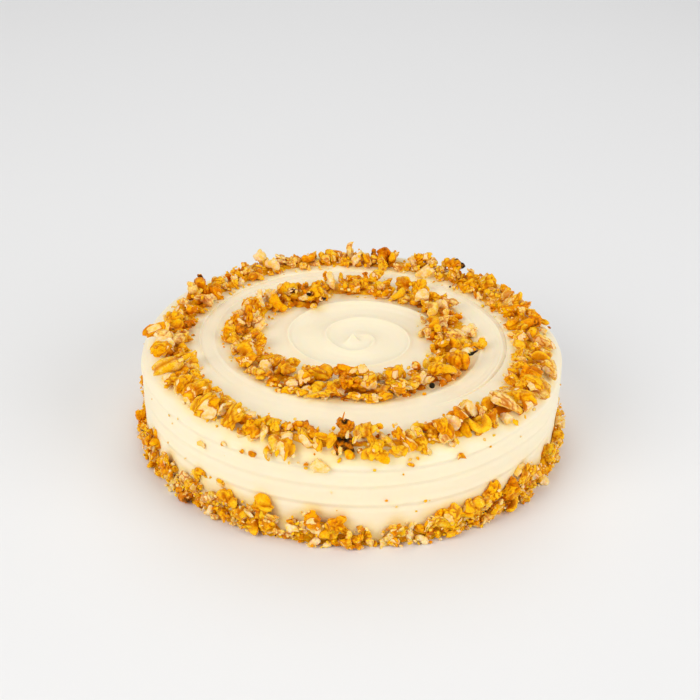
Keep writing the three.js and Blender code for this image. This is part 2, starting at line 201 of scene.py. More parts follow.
def swirl_height(x, y):
    """The height of the swirled top: lips just above CAKE_HEIGHT and troughs below it."""
    out, angle, radius = swirl_place(x, y)
    nearest = np.round(out + angle)
    from_lip = np.abs(out + angle - nearest)
    trough = 1 - (1 - 2 * from_lip) ** TROUGH_POWER
    lip_distance = radius - swirl_radius(nearest - angle)
    lip = LIP_HEIGHT * np.exp(-((lip_distance / LIP_WIDTH) ** 2))
    worn = np.exp(-(((radius - WORN_RADIUS) / WORN_WIDTH) ** 2))
    lip = lip * (1 - LIP_WEAR * worn)
    pitch = swirl_radius(out + 0.5) - swirl_radius(out - 0.5)
    trough = trough * np.clip((pitch / SWIRL_PITCH) ** NARROW_POWER, SHALLOWEST, 1)
    fade_in = smoothstep(radius, 0, SWIRL_START)
    shown = smoothstep(np.abs(away_from(FULL_TURN * angle, FADED_SIDE)), *FADED_SPREAD)
    shown = 1 - (1 - shown) * smoothstep(out, FADED_TURN - 0.4, FADED_TURN)
    fade_out = smoothstep(PLATEAU_START - radius, 0, PLATEAU_RAMP) * shown
    relief = MEAN_DEPTH + (trough - MEAN_DEPTH) * fade_in * (1 - TROUGH_WEAR * worn)
    return CAKE_HEIGHT + fade_out * (lip * fade_in - TROUGH_DEPTH * relief)


def crest_height(x, y):
    """The small crest where the swirl starts: highest at its tip, steeper on its right side."""
    run = np.array(CREST_TAIL) - CREST_TIP
    length = np.hypot(*run)
    run = run / length
    along = (x - CREST_TIP[0]) * run[0] + (y - CREST_TIP[1]) * run[1]
    across = (x - CREST_TIP[0]) * run[1] - (y - CREST_TIP[1]) * run[0]
    beyond = np.minimum(along, 0)
    width = np.where(across < 0, CREST_WIDTH, CREST_STEEP_SIDE * CREST_WIDTH)
    away = np.hypot(across / width, beyond / (0.5 * CREST_WIDTH))
    fall = (1 - np.clip(along / length, 0, 1)) ** 1.6
    return CREST_HEIGHT * fall * np.exp(-(away**1.5))


# ---------------------------------------------------------------- meshes


def new_piece(name, corners, faces, materials, smooth=True):
    """A mesh object from corners in millimetres."""
    mesh = bpy.data.meshes.new(name)
    mesh.from_pydata((np.asarray(corners) * MM).tolist(), [], np.asarray(faces).tolist())
    mesh.polygons.foreach_set("use_smooth", [smooth] * len(mesh.polygons))
    for material in materials:
        mesh.materials.append(material)
    mesh.update()
    piece = bpy.data.objects.new(name, mesh)
    bpy.context.scene.collection.objects.link(piece)
    return piece


def frosting_rows(columns, spacing):
    """Rows of points that each run once around the cake: out along its bottom, up its side, over
    its shoulder, and in over its top along the swirl."""
    angle = np.linspace(0, FULL_TURN, columns + 1)
    around = np.stack([np.cos(angle), np.sin(angle)], 1)

    def row(radius, height):
        flat = around * np.broadcast_to(radius, angle.shape)[:, None]
        return np.column_stack([flat, np.broadcast_to(height, angle.shape)])

    rows = [row(0, 0), row(0.5 * FOOT_RADIUS, 0), row(FOOT_RADIUS - FOOT_ROUNDING, 0)]
    rows.append(row(FOOT_RADIUS - 0.3 * FOOT_ROUNDING, 0.3 * FOOT_ROUNDING))
    shoulder_start = CAKE_HEIGHT - SHOULDER_DROP
    for height in np.arange(FOOT_ROUNDING, shoulder_start, spacing):
        rows.append(row(side_radius(height) - line_depth(height, angle), height))
    for slope in np.linspace(0, math.pi / 2, SHOULDER_ROWS):
        radius = CAKE_RADIUS - SHOULDER_WIDTH * (1 - math.cos(slope))
        height = CAKE_HEIGHT - SHOULDER_DROP * (1 - math.sin(slope))
        rows.append(row(radius - line_depth(height, angle) * math.cos(slope), height))
    flat_start = CAKE_RADIUS - SHOULDER_WIDTH
    for radius in np.linspace(flat_start, SWIRL_END, EDGE_ROWS)[1:-1]:
        rows.append(row(radius, CAKE_HEIGHT))
    per_turn = round(SWIRL_PITCH / (SWIRL_STEP * spacing))
    count = math.ceil((SWIRL_TURNS[-1] + 2) * per_turn)
    for index in range(count, -1, -1):
        radius = swirl_radius(index / per_turn - 1 - angle / FULL_TURN)
        centring = 1 - (radius / SWIRL_END) ** 2
        x = radius * around[:, 0] + SWIRL_CENTRE[0] * centring
        y = radius * around[:, 1] + SWIRL_CENTRE[1] * centring
        rows.append(np.column_stack([x, y, swirl_height(x, y) + crest_height(x, y)]))
    return np.array(rows)


def rows_to_faces(row_count, columns):
    row, column = np.meshgrid(np.arange(row_count - 1), np.arange(columns), indexing="ij")
    first = (row * (columns + 1) + column).ravel()
    above = first + columns + 1
    return np.stack([first, first + 1, above + 1, above], 1)


def close_seams(piece):
    """Joins corners that lie on each other, so that the skin is closed, and drops empty faces."""
    shape = bmesh.new()
    shape.from_mesh(piece.data)
    bmesh.ops.remove_doubles(shape, verts=shape.verts, dist=2e-6)
    bmesh.ops.dissolve_degenerate(shape, dist=1e-7, edges=shape.edges)
    bmesh.ops.recalc_face_normals(shape, faces=shape.faces)
    shape.to_mesh(piece.data)
    shape.free()


def hand_spread(points):
    """Moves the frosting's points in and out as a hand-held spatula leaves them."""
    radius = np.hypot(points[:, 0], points[:, 1])
    on_top = smoothstep(points[:, 2], CAKE_HEIGHT - 6, CAKE_HEIGHT - 2)
    above_foot = smoothstep(points[:, 2], 0.5, 3)
    out = points[:, :2] / np.maximum(radius, 1)[:, None]
    angle = np.arctan2(points[:, 1], points[:, 0])
    broad = soft_noise(points, 60, 3)
    around = np.column_stack([30 * np.cos(angle), 30 * np.sin(angle), 9 * points[:, 2]])
    streaks = soft_noise(around, 22, 4, 24)
    side_push = (SIDE_SWELL * broad + SIDE_STREAK * streaks) * (1 - on_top) * above_foot
    _, part, from_middle = swirl_place(points[:, 0], points[:, 1])
    wound = 8 * (from_middle + SWIRL_PITCH * part)
    along = np.column_stack([18 * np.cos(angle), 18 * np.sin(angle), wound])
    lines = soft_noise(along, 30, 5, 24)
    fade = smoothstep(radius, 4, 20)
    moved = points.copy()
    moved[:, :2] += out * side_push[:, None]
    moved[:, 2] += (TOP_SWELL * soft_noise(points, 45, 6) + TOP_STREAK * lines * fade) * on_top
    return moved


# ---------------------------------------------------------------- broken walnut


_spheres = {}


def unit_sphere(fineness):
    """Corners and triangles of a sphere of radius 1: an icosahedron whose every edge is divided
    into that many parts."""
    if fineness not in _spheres:
        shape = bmesh.new()
        bmesh.ops.create_icosphere(shape, subdivisions=1, radius=1)
        triangles = [[np.array(v.co) for v in face.verts] for face in shape.faces]
        shape.free()
        corners, faces = [], []
        for first, second, third in triangles:
            number = {}
            for i in range(fineness + 1):
                for j in range(fineness + 1 - i):
                    number[i, j] = len(corners)
                    share = (fineness - i - j, i, j)
                    corners.append((share[0] * first + share[1] * second + share[2] * third) / fineness)
            for i in range(fineness):
                for j in range(fineness - i):
                    faces.append([number[i, j], number[i + 1, j], number[i, j + 1]])
                    if i + j < fineness - 1:
                        faces.append([number[i + 1, j], number[i + 1, j + 1], number[i, j + 1]])
        _, kept, merged = np.unique(
            np.round(corners, 5), axis=0, return_index=True, return_inverse=True
        )
        corners = np.array(corners)[kept]
        faces = merged.ravel()[np.array(faces)]
        _spheres[fineness] = (corners / np.linalg.norm(corners, axis=1)[:, None], faces)
    return _spheres[fineness]


def turn(tilt_x, tilt_y, spin):
    """A rotation that first leans a piece and then spins it about the vertical."""
    lean = Matrix.Rotation(tilt_x, 3, "X") @ Matrix.Rotation(tilt_y, 3, "Y")
    return np.array(Matrix.Rotation(spin, 3, "Z") @ lean)


class Crumb:
    """One broken piece of walnut: its corners and triangles, and what shows at each corner."""

    def __init__(self, corners, faces, flesh, crease, tone):
        self.corners = corners
        self.faces = faces
        self.flesh = flesh
        self.crease = crease
        self.tone = tone

    def turned(self, rotation):
        return Crumb(self.corners @ rotation.T, self.faces, self.flesh, self.crease, self.tone)

    def moved(self, offset):
        return Crumb(self.corners + offset, self.faces, self.flesh, self.crease, self.tone)


def lobe_reach(directions, lobes):
    """How far the union of round lobes reaches in each direction, and how deep in a furrow it is."""
    reaches = []
    for centre, radius in lobes:
        along = directions @ centre
        inside = radius**2 - centre @ centre + along**2
        reaches.append(np.where(inside > 0, along + np.sqrt(np.maximum(inside, 0)), 0))
    ordered = np.sort(np.array(reaches), axis=0)
    furrow = 1 - np.clip((ordered[-1] - ordered[-2]) / 0.09, 0, 1)
    return ordered[-1], furrow


def cut_back(corners, cuts):
    """Cuts the corners back to flat broken faces, each a direction and a distance from the middle.
    Returns them with a mask of the corners that the cuts moved."""
    share = np.ones(len(corners))
    for normal, distance in cuts:
        along = corners @ normal
        share = np.minimum(share, np.where(along > distance, distance / np.maximum(along, 1e-6), 1))
    return corners * share[:, None], share < 0.995


def furrows(directions, ridges, random):
    """How deep each direction is in a furrow, where rounded ridges lie side by side lengthwise."""
    side = random.between(0, FULL_TURN)
    across = np.array([random.spread(0.3), math.cos(side), math.sin(side)])
    wander = 0.36 * soft_noise(directions, 1.4, random.numbers.randint(1 << 30), 8)
    turns = 0.5 * math.pi * ridges * (directions @ across + wander)
    return (1 - np.abs(np.sin(turns + random.between(0, math.pi)))) ** 2.3


def bent(corners, bend, taper):
    """Narrows a piece towards one end and curves it lengthwise."""
    half = np.abs(corners[:, 0]).max()
    along = corners[:, 0] / half
    shaped = corners.copy()
    shaped[:, 1:] *= (1 + taper * along)[:, None]
    shaped[:, 2] += bend * half * along**2
    return shaped


def paired_lobes(count, random):
    """The lobes of half a kernel: two rows of them, on both sides of its middle."""
    lobes = [(np.zeros(3), 0.4)]
    rows = (count + 1) // 2
    for number in range(count):
        along = 2 * (number // 2 + 0.5) / rows - 1
        side = 1 if number % 2 else -1
        centre = np.array([0.66 * along, 0.36 * side, random.between(0, 0.22)])
        lobes.append((centre + random.direction() * 0.07, random.between(0.26, 0.36)))
    return lobes


def lobes_of_kernel(count, random):
    """Round lobes in a bent row, each the centre and radius of a ball, on a piece of about size 1."""
    lobes = [(np.zeros(3), 0.4)]
    bow = random.direction() * 0.3
    for number in range(count):
        along = 2 * (number + 0.5) / count - 1
        aside = random.direction() * random.between(0.1, 0.4)
        centre = np.array([0.62 * along, 0, 0]) + aside + bow * (along**2 - 0.5)
        lobes.append((centre, random.between(0.27, 0.42)))
    return lobes


def nut_chunk(length, shape, tone, random, bare=0.0):
    """A piece of kernel: rounded lobes and ridges with furrows between them, broken off flat."""
    fineness = int(np.clip(round(0.62 * length), 2, 8))
    directions, faces = unit_sphere(fineness)
    make_lobes = paired_lobes if "paired" in shape else lobes_of_kernel
    reach, crease = lobe_reach(directions, make_lobes(shape["lobes"], random))
    ridges = shape["ridges"] * math.sqrt(length / 8) + random.spread(0.5)
    groove = furrows(directions, ridges, random)
    ripple = soft_noise(directions, 0.75, random.numbers.randint(1 << 30), 10)
    crinkle = soft_noise(directions, 0.36, random.numbers.randint(1 << 30), 10)
    depth = shape["furrow"] * min(1, length / 7)
    reach = reach * (1 + 0.08 * ripple + 0.035 * crinkle - depth * groove - 0.1 * crease)
    stretch = np.array(shape["stretch"]) * [1, random.between(0.8, 1.2), random.between(0.8, 1.2)]
    corners = directions * reach[:, None] * stretch
    cuts = []
    for number in range(shape["cuts"]):
        normal = random.direction()
        if number == 0:
            normal = np.array([random.between(0.6, 1.6), random.spread(1), random.spread(1)])
            normal *= random.numbers.choice([-1, 1]) / np.linalg.norm(normal)
        depth = np.percentile(corners @ normal, 97) * random.between(0.35, 0.85)
        cuts.append((normal, depth))
    corners, broken = cut_back(corners, cuts)
    grain = soft_noise(corners, 0.3, random.numbers.randint(1 << 30), 12)
    corners = corners * (1 + 0.03 * grain * broken)[:, None]
    corners = bent(corners, shape["bend"] * random.between(-1, 1), random.spread(0.35))
    size = np.ptp(corners, axis=0).max()
    corners = (corners - corners.mean(0)) * (length / size)
    bare_side = directions @ random.direction() > 1 - 2 * bare
    patchy = 0.5 + 0.7 * soft_noise(corners, 0.45 * length, random.numbers.randint(1 << 30), 10)
    flesh = np.maximum(broken * np.clip(patchy, 0, 1), bare_side)
    # Painted shade: the creases between lobes and the deeper furrows are darkened, but not on broken
    # faces.
    crease = np.maximum(crease, smoothstep(groove, 0.25, 0.7) * (shape["furrow"] > 0.1)) * ~broken
    shade = tone + 0.1 * soft_noise(corners, 0.9 * length, random.numbers.randint(1 << 30), 8)
    return Crumb(corners, faces, flesh, crease, shade)


def nut_curl(length, tone, random, around=9, along=13):
    """A curled lobe of kernel: a bent, tapering, furrowed roll."""
    span = random.between(1.9, 3.6)
    bend = length / (2 * min(1, math.sin(min(span, math.pi) / 2)) + 0.6)
    thick = bend * random.between(0.42, 0.6)
    share = np.linspace(0, 1, along)
    turned = (share - 0.5) * span
    middle = np.column_stack([bend * np.cos(turned), bend * np.sin(turned), np.zeros(along)])
    outwards = np.column_stack([np.cos(turned), np.sin(turned), np.zeros(along)])
    ends = np.sqrt(np.clip(1 - np.abs(2 * share - 1) ** 3.2, 0.02, 1))
    swell = 1 + 0.16 * np.sin(share * random.between(7, 14) + random.between(0, 6))
    section = np.linspace(0, FULL_TURN, around, endpoint=False)
    wide = random.between(0.85, 1.35)
    corners = []
    for index in range(along):
        radius = thick * ends[index] * swell[index]
        radial = np.cos(section) * radius * (1 - 0.18 * np.cos(2 * section))
        upward = np.sin(section) * radius * wide
        corners.append(middle[index] + outwards[index] * radial[:, None])
        corners[-1][:, 2] += upward
    corners = np.concatenate(corners + [middle[:1], middle[-1:]])
    faces = []
    for row in range(along - 1):
        for column in range(around):
            a = row * around + column
            b = row * around + (column + 1) % around
            faces.append([a, b, b + around])
            faces.append([a, b + around, a + around])
    first, last = along * around, along * around + 1
    for column in range(around):
        beside = (column + 1) % around
        faces.append([first, beside, column])
        faces.append([last, (along - 1) * around + column, (along - 1) * around + beside])
    faces = np.array(faces)
    corners += 0.05 * thick * soft_noise(corners, 0.8 * thick, random.numbers.randint(1 << 30))[:, None]
    corners -= corners.mean(0)
    at_end = np.zeros(len(corners), bool)
    at_end[[first, last]] = True
    # The inside of the curl gets painted shade.
    inner = np.append(np.cos(np.tile(section, along)) < -0.6, [False, False])
    return Crumb(corners, faces, at_end.astype(float), 0.7 * inner, np.full(len(corners), tone))


def nut_grain(length, tone, random, bare):
    """A crumb too small for lobes: a rough little lump."""
    directions, faces = unit_sphere(1)
    stretch = np.array([1, random.between(0.5, 0.9), random.between(0.4, 0.8)])
    uneven = 1 + 0.45 * (random.numbers.random_sample(len(directions)) - 0.5)
    corners = directions * uneven[:, None] * stretch * (length / 2)
    count = len(corners)
    return Crumb(corners, faces, np.full(count, bare), np.zeros(count), np.full(count, tone))


# The kinds of piece in chopped walnut: proportions, rounded lobes, ridges side by side, depth of
# the furrows between them, broken faces and how far the piece may be bent. A whole kernel's lobes
# lie in pairs.
KINDS = {
    "kernel": dict(
        stretch=(1, 0.96, 0.72), lobes=7, ridges=2.1, furrow=0.3, cuts=0, bend=0.3, paired=True
    ),
    "ridged": dict(stretch=(1, 0.9, 0.76), lobes=5, ridges=2.7, furrow=0.25, cuts=2, bend=0.25),
    "lump": dict(stretch=(1, 0.9, 0.8), lobes=6, ridges=2.4, furrow=0.17, cuts=2, bend=0.2),
    "block": dict(stretch=(1, 0.8, 0.66), lobes=3, ridges=1.2, furrow=0.12, cuts=5, bend=0.15),
    "shard": dict(stretch=(1, 0.5, 0.4), lobes=4, ridges=1.6, furrow=0.2, cuts=3, bend=0.4),
    "flake": dict(stretch=(1, 0.76, 0.34), lobes=5, ridges=2.0, furrow=0.2, cuts=2, bend=0.6),
    "pebble": dict(stretch=(1, 0.72, 0.55), lobes=2, ridges=0.8, furrow=0.08, cuts=1, bend=0.3),
    "chip": dict(stretch=(1, 0.8, 0.26), lobes=1, ridges=0.4, furrow=0.0, cuts=4, bend=0.1),
    "splinter": dict(stretch=(1, 0.14, 0.1), lobes=2, ridges=0.5, furrow=0.0, cuts=2, bend=0.3),
}
KIND_SHARES = [
    ("ridged", 0.26), ("lump", 0.24), ("block", 0.2), ("curl", 0.06), ("shard", 0.15),
    ("flake", 0.06), ("splinter", 0.03),
]

# The tones of chopped walnut: up to which share of the pieces each goes, its palest and darkest.
TONES = [(0.26, 0.0, 0.25), (0.82, 0.3, 0.58), (0.985, 0.58, 0.74)]
NEARLY_BLACK = (0.85, 1)
DARK_LENGTH = 5  # only pieces up to this length are nearly black
BARE_PIECES = 0.11  # share of the pieces that have lost their skin all over
BARE_GRAINS = 0.2


def pick_kind(random):
    mark = random.between(0, 1)
    for kind, share in KIND_SHARES:
        mark -= share
        if mark < 0:
            return kind
    return "lump"


def pick_tone(length, random):
    """0 is pale, 0.5 golden and 1 nearly black, which only small pieces are."""
    mark = random.between(0, 1)
    for share, palest, darkest in TONES:
        if mark < share:
            return random.between(palest, darkest)
    if length > DARK_LENGTH:
        return random.between(*TONES[-1][1:])
    return random.between(*NEARLY_BLACK)


def nut_piece(kind, length, tone, random, bare=0.0):
    """One piece of walnut of a kind, with as fine a mesh as its length needs."""
    if kind == "curl":
        fine = length > 8
        return nut_curl(length, tone, random, 11 if fine else 8, 15 if fine else 10)
    return nut_chunk(length, KINDS[kind], tone, random, bare)


# ---------------------------------------------------------------- laying the walnuts


BURIED_SHADE_DEPTH = (2.5, 8.0)  # painted shade: what lies deeper in a heap than the first is painted darker
SHARP_DEGREES = 38
LOWEST_POINT = 0.05  # no walnut reaches nearer to the floor than this
THICKER = 1.25  # a piece made to measure is this much thicker than in proportion
THICKEST = 1.5  # but at most this many times as thick as it was

# The layer of fine crumbs under a heap: the size of its faces, how deep its bare edge and its
# underside lie in the frosting, and how high its lumps are.
FLOOR_STEP = 1.5
FLOOR_EDGE = 0.9
FLOOR_UNDERSIDE = 1.4
FLOOR_LUMPS = 1.3


class Skin:
    """The cake's outside as a sheet, from inside the outer ring, over the shoulder, to the foot.
    Its points are (distance around at SHEET_RADIUS, distance down the sheet, distance off it)."""

    SHEET_RADIUS = 97.0
    INNER_EDGE = 68.0
    SHOULDER_POINTS = 60
    LINES_FROM = 100  # the scraper's lines show outside this radius

    def __init__(self):
        slopes = np.linspace(0, math.pi / 2, self.SHOULDER_POINTS)
        radius = CAKE_RADIUS - SHOULDER_WIDTH * (1 - np.sin(slopes))
        height = CAKE_HEIGHT - SHOULDER_DROP * (1 - np.cos(slopes))
        radius = np.concatenate([[self.INNER_EDGE], radius, [FOOT_RADIUS, FOOT_RADIUS]])
        height = np.concatenate([[CAKE_HEIGHT], height, [0, -5]])
        steps = np.hypot(np.diff(radius), np.diff(height))
        self.down = np.concatenate([[0], np.cumsum(steps)])
        self.radius = radius
        self.height = height
        slope = np.arctan2(np.diff(height), np.diff(radius))
        self.lean_down = (self.down[:-1] + self.down[1:]) / 2
        self.lean = slope + math.pi / 2
        self.length_around = FULL_TURN * self.SHEET_RADIUS

    def down_at_radius(self, radius):
        """How far down the sheet a radius on the top and shoulder lies."""
        last = self.SHOULDER_POINTS + 1
        return np.interp(radius, self.radius[:last], self.down[:last])

    def down_at_height(self, height):
        """How far down the sheet a height on the side lies."""
        first = self.SHOULDER_POINTS
        return np.interp(-height, -self.height[first:], self.down[first:])

    def place(self, points):
        """Moves points from the sheet to the cake."""
        angle = points[:, 0] / self.SHEET_RADIUS
        radius = np.interp(points[:, 1], self.down, self.radius)
        height = np.interp(points[:, 1], self.down, self.height)
        lean = np.interp(points[:, 1], self.lean_down, self.lean)
        radius = radius + points[:, 2] * np.cos(lean)
        height = height + points[:, 2] * np.sin(lean)
        return np.column_stack([radius * np.cos(angle), radius * np.sin(angle), height])

    def ground(self, around, down):
        """How far the frosting stands off the sheet: its swirl's troughs and its side grooves."""
        angle = around / self.SHEET_RADIUS
        radius = np.interp(down, self.down, self.radius)
        height = np.interp(down, self.down, self.height)
        flat = smoothstep(-radius, -SWIRL_END, -SWIRL_END + 3)
        swirl = swirl_height(radius * np.cos(angle), radius * np.sin(angle)) - CAKE_HEIGHT
        lines = -line_depth(height, angle) * (radius > self.LINES_FROM)
        return np.where(flat > 0, swirl * flat, lines)


class Bed:
    """How high the walnuts lie so far over a stretch of frosting, so that pieces rest on each
    other. Its points are two distances along the frosting and one off it."""

    CELL = 0.5
    SUPPORT = 88  # a piece rests where this percentage of its underside is clear of the heap
    COVERED = 0.3  # how high walnuts lie where they count as covering the frosting

    def __init__(self, low, high, ground, around=None):
        self.low = np.array(low, float)
        self.around = around
        count = np.ceil((np.array(high) - self.low) / self.CELL).astype(int)
        first = self.low[0] + (np.arange(count[0]) + 0.5) * self.CELL
        second = self.low[1] + (np.arange(count[1]) + 0.5) * self.CELL
        grid = np.meshgrid(first, second, indexing="ij")
        self.bare = ground(*grid)
        self.heights = self.bare.copy()

    def cells(self, points):
        index = np.floor((points[:, :2] - self.low) / self.CELL).astype(int)
        if self.around:
            index[:, 0] %= self.heights.shape[0]
        limits = np.array(self.heights.shape) - 1
        return np.clip(index, 0, limits)

    def resting_height(self, corners, sink):
        """How high a piece lies when its underside meets what is there, pressed in by sink."""
        lower = corners[corners[:, 2] < np.median(corners[:, 2])]
        index = self.cells(lower)
        gaps = self.heights[index[:, 0], index[:, 1]] - lower[:, 2]
        return np.percentile(gaps, self.SUPPORT) - sink

    def cover(self, corners):
        """How far under the top of the heap each corner lies."""
        index = self.cells(corners)
        return self.heights[index[:, 0], index[:, 1]] - corners[:, 2]

    def nearness(self, reach):
        """For every cell, the share of the frosting within that reach that walnuts cover."""
        wide = int(round(reach / self.CELL))
        covered = (self.heights - self.bare > self.COVERED).astype(float)
        padded = np.pad(covered, ((wide, wide), (0, 0)), "wrap")
        padded = np.pad(padded, ((0, 0), (wide, wide)))
        rows = sum(padded[i:i + len(covered)] for i in range(2 * wide + 1))
        both = sum(rows[:, i:i + covered.shape[1]] for i in range(2 * wide + 1))
        return both / (2 * wide + 1) ** 2

    def lay(self, corners):
        index = self.cells(corners)
        limits = np.array(self.heights.shape) - 1
        for across in (-1, 0, 1):
            for down in (-1, 0, 1):
                near = np.clip(index + [across, down], 0, limits)
                np.maximum.at(self.heights, (near[:, 0], near[:, 1]), corners[:, 2])


def lay_in_lowest(bed, crumb, places, sink, limit=None):
    """Lays a piece at the place where it rests lowest, and presses it in to keep under the limit."""
    best = None
    for place in places:
        offset = np.array([place[0], place[1], 0])
        height = bed.resting_height(crumb.corners + offset, sink)
        if best is None or height < best[2]:
            best = (place[0], place[1], height)
    laid = crumb.moved(np.array(best))
    if limit is not None:
        laid = laid.moved(np.array([0, 0, min(0, limit - laid.corners[:, 2].max())]))
    bed.lay(laid.corners)
    return laid


def leaned(crumb, random, lean=0.6):
    """Turned any way round, and leaning by up to that angle."""
    return crumb.turned(turn(random.spread(lean), random.spread(lean), random.between(0, FULL_TURN)))


def sized_piece(kind, length, width, tone, bare, random):
    """A piece lying lengthwise along X and flat in the XY plane, of exactly that length and width."""
    crumb = nut_piece(kind, length, tone, random, bare)
    if kind == "curl":
        return crumb
    middled = crumb.corners - crumb.corners.mean(0)
    _, axes = np.linalg.eigh(middled.T @ middled)
    axes = axes[:, ::-1]
    axes[:, 2] *= np.sign(np.linalg.det(axes))
    crumb = crumb.turned(axes.T)
    extent = np.ptp(crumb.corners, axis=0)
    scale = np.array([length, width, 0]) / extent
    scale[2] = min(THICKER * scale[:2].mean(), THICKEST)
    return Crumb(crumb.corners * scale, crumb.faces, crumb.flesh, crumb.crease, crumb.tone)


def posed(crumb, tilt, spin, roll):
    """Turned to given angles in degrees: its far end raised by tilt, and then spun."""
    lying = Matrix.Rotation(math.radians(roll), 3, "X")
    raised = Matrix.Rotation(math.radians(-tilt), 3, "Y") @ lying
    return crumb.turned(np.array(Matrix.Rotation(math.radians(spin), 3, "Z") @ raised))


def faces_out(corners, faces):
    """The triangles, turned over where the closed piece would otherwise show its inside."""
    first, second, third = corners[faces[:, 0]], corners[faces[:, 1]], corners[faces[:, 2]]
    volume = np.einsum("ij,ij->", first - corners.mean(0), np.cross(second - first, third - first))
    return faces if volume > 0 else faces[:, ::-1]


def joined_crumbs(name, crumbs, bed, place, material):
    """One mesh of many pieces of walnut, with what shows at each corner kept as attributes. What
    lies deep in the heap gets painted shade, as dark as that in a crease."""
    corners, faces, painted_shades, start = [], [], [], 0
    for crumb in crumbs:
        placed = place(crumb.corners)
        placed[:, 2] = np.maximum(placed[:, 2], LOWEST_POINT)
        # Painted shade, darker the deeper a corner lies in the heap.
        buried_shade = smoothstep(bed.cover(crumb.corners), *BURIED_SHADE_DEPTH)
        corners.append(placed)
        faces.append(faces_out(placed, crumb.faces) + start)
        painted_shades.append(np.maximum(crumb.crease, buried_shade))
        start += len(placed)
    piece = new_piece(name, np.concatenate(corners), np.concatenate(faces), [material])
    mesh = piece.data
    values = {
        "flesh": np.concatenate([crumb.flesh for crumb in crumbs]),
        "tone": np.concatenate([crumb.tone for crumb in crumbs]),
        "crease": np.concatenate(painted_shades),
    }
    for attribute, numbers in values.items():
        layer = mesh.attributes.new(attribute, "FLOAT", "POINT")
        layer.data.foreach_set("value", numbers.astype(np.float32))
    mesh.set_sharp_from_angle(angle=math.radians(SHARP_DEGREES))
    return piece


def crumb_floor(bed, low, high, cover, random_seed, around=None):
    """The layer of fine crumbs under a heap: a lumpy sheet with its underside in the frosting."""
    counts = [max(2, round((high[i] - low[i]) / FLOOR_STEP)) for i in (0, 1)]
    first = np.linspace(low[0], high[0], counts[0] + 1)
    second = np.linspace(low[1], high[1], counts[1] + 1)
    u, v = [axis.ravel() for axis in np.meshgrid(first, second, indexing="ij")]
    share = cover(u, v)
    if around:
        angle = u * FULL_TURN / around
        reach = Skin.SHEET_RADIUS
        spot = np.column_stack([reach * np.cos(angle), reach * np.sin(angle), v])
    else:
        spot = np.column_stack([u, v, 0 * u])
    lumps = np.abs(soft_noise(spot, 5, random_seed, 24))
    lumps += 0.5 * np.abs(soft_noise(spot, 2.6, random_seed + 1, 24))
    index = bed.cells(np.column_stack([u, v]))
    ground = bed.heights[index[:, 0], index[:, 1]]
    top = ground - FLOOR_EDGE + share * (FLOOR_EDGE + FLOOR_LUMPS * lumps)
    under = ground - FLOOR_UNDERSIDE
    rows, columns = counts[0] + 1, counts[1] + 1
    grid = np.arange(rows * columns).reshape(rows, columns)
    quads = np.stack([grid[:-1, :-1], grid[1:, :-1], grid[1:, 1:], grid[:-1, 1:]], -1).reshape(-1, 4)
    used = (share[quads] > 0).any(1)
    quads = quads[used]
    triangles = np.concatenate([quads[:, [0, 1, 2]], quads[:, [0, 2, 3]]])
    below = triangles[:, ::-1] + len(u)
    faces = np.concatenate([triangles, below])
    directed = np.concatenate([triangles[:, pair] for pair in ([0, 1], [1, 2], [2, 0])])
    edges = np.sort(directed, 1)
    _, inverse, uses = np.unique(edges, axis=0, return_inverse=True, return_counts=True)
    rim = directed[uses[inverse.ravel()] == 1]
    if around:
        seam = (np.isclose(u[rim], low[0]).all(1)) | (np.isclose(u[rim], high[0]).all(1))
        rim = rim[~seam]
    walls = np.concatenate([
        np.column_stack([rim[:, 1], rim[:, 0], rim[:, 0] + len(u)]),
        np.column_stack([rim[:, 1], rim[:, 0] + len(u), rim[:, 1] + len(u)]),
    ])
    faces = np.concatenate([faces, walls])
    corners = np.concatenate([np.column_stack([u, v, top]), np.column_stack([u, v, under])])
    kept = np.unique(faces)
    renumber = np.zeros(len(corners), int)
    renumber[kept] = np.arange(len(kept))
    bed.lay(np.column_stack([u, v, np.where(share > 0, top, -99)]))
    specks = np.tile(np.random.RandomState(random_seed).random_sample(len(u)), 2)[kept]
    flesh = np.where(specks > 0.96, 1.0, 0.0)
    # Four in ten of its corners, picked at random, get some painted shade, so that the gaps between
    # pieces look shaded.
    return Crumb(corners[kept], renumber[faces], flesh, 0.4 * (specks < 0.4), 0.3 + 0.3 * specks)


# ---------------------------------------------------------------- materials


def shader_group(name, inputs, outputs):
    """An empty shader node group with named sockets."""
    group = bpy.data.node_groups.new(name, "ShaderNodeTree")
    for socket, default in inputs:
        made = group.interface.new_socket(socket, in_out="INPUT", socket_type="NodeSocketFloat")
        made.default_value = default
    for socket in outputs:
        group.interface.new_socket(socket, in_out="OUTPUT", socket_type="NodeSocketFloat")
    return group


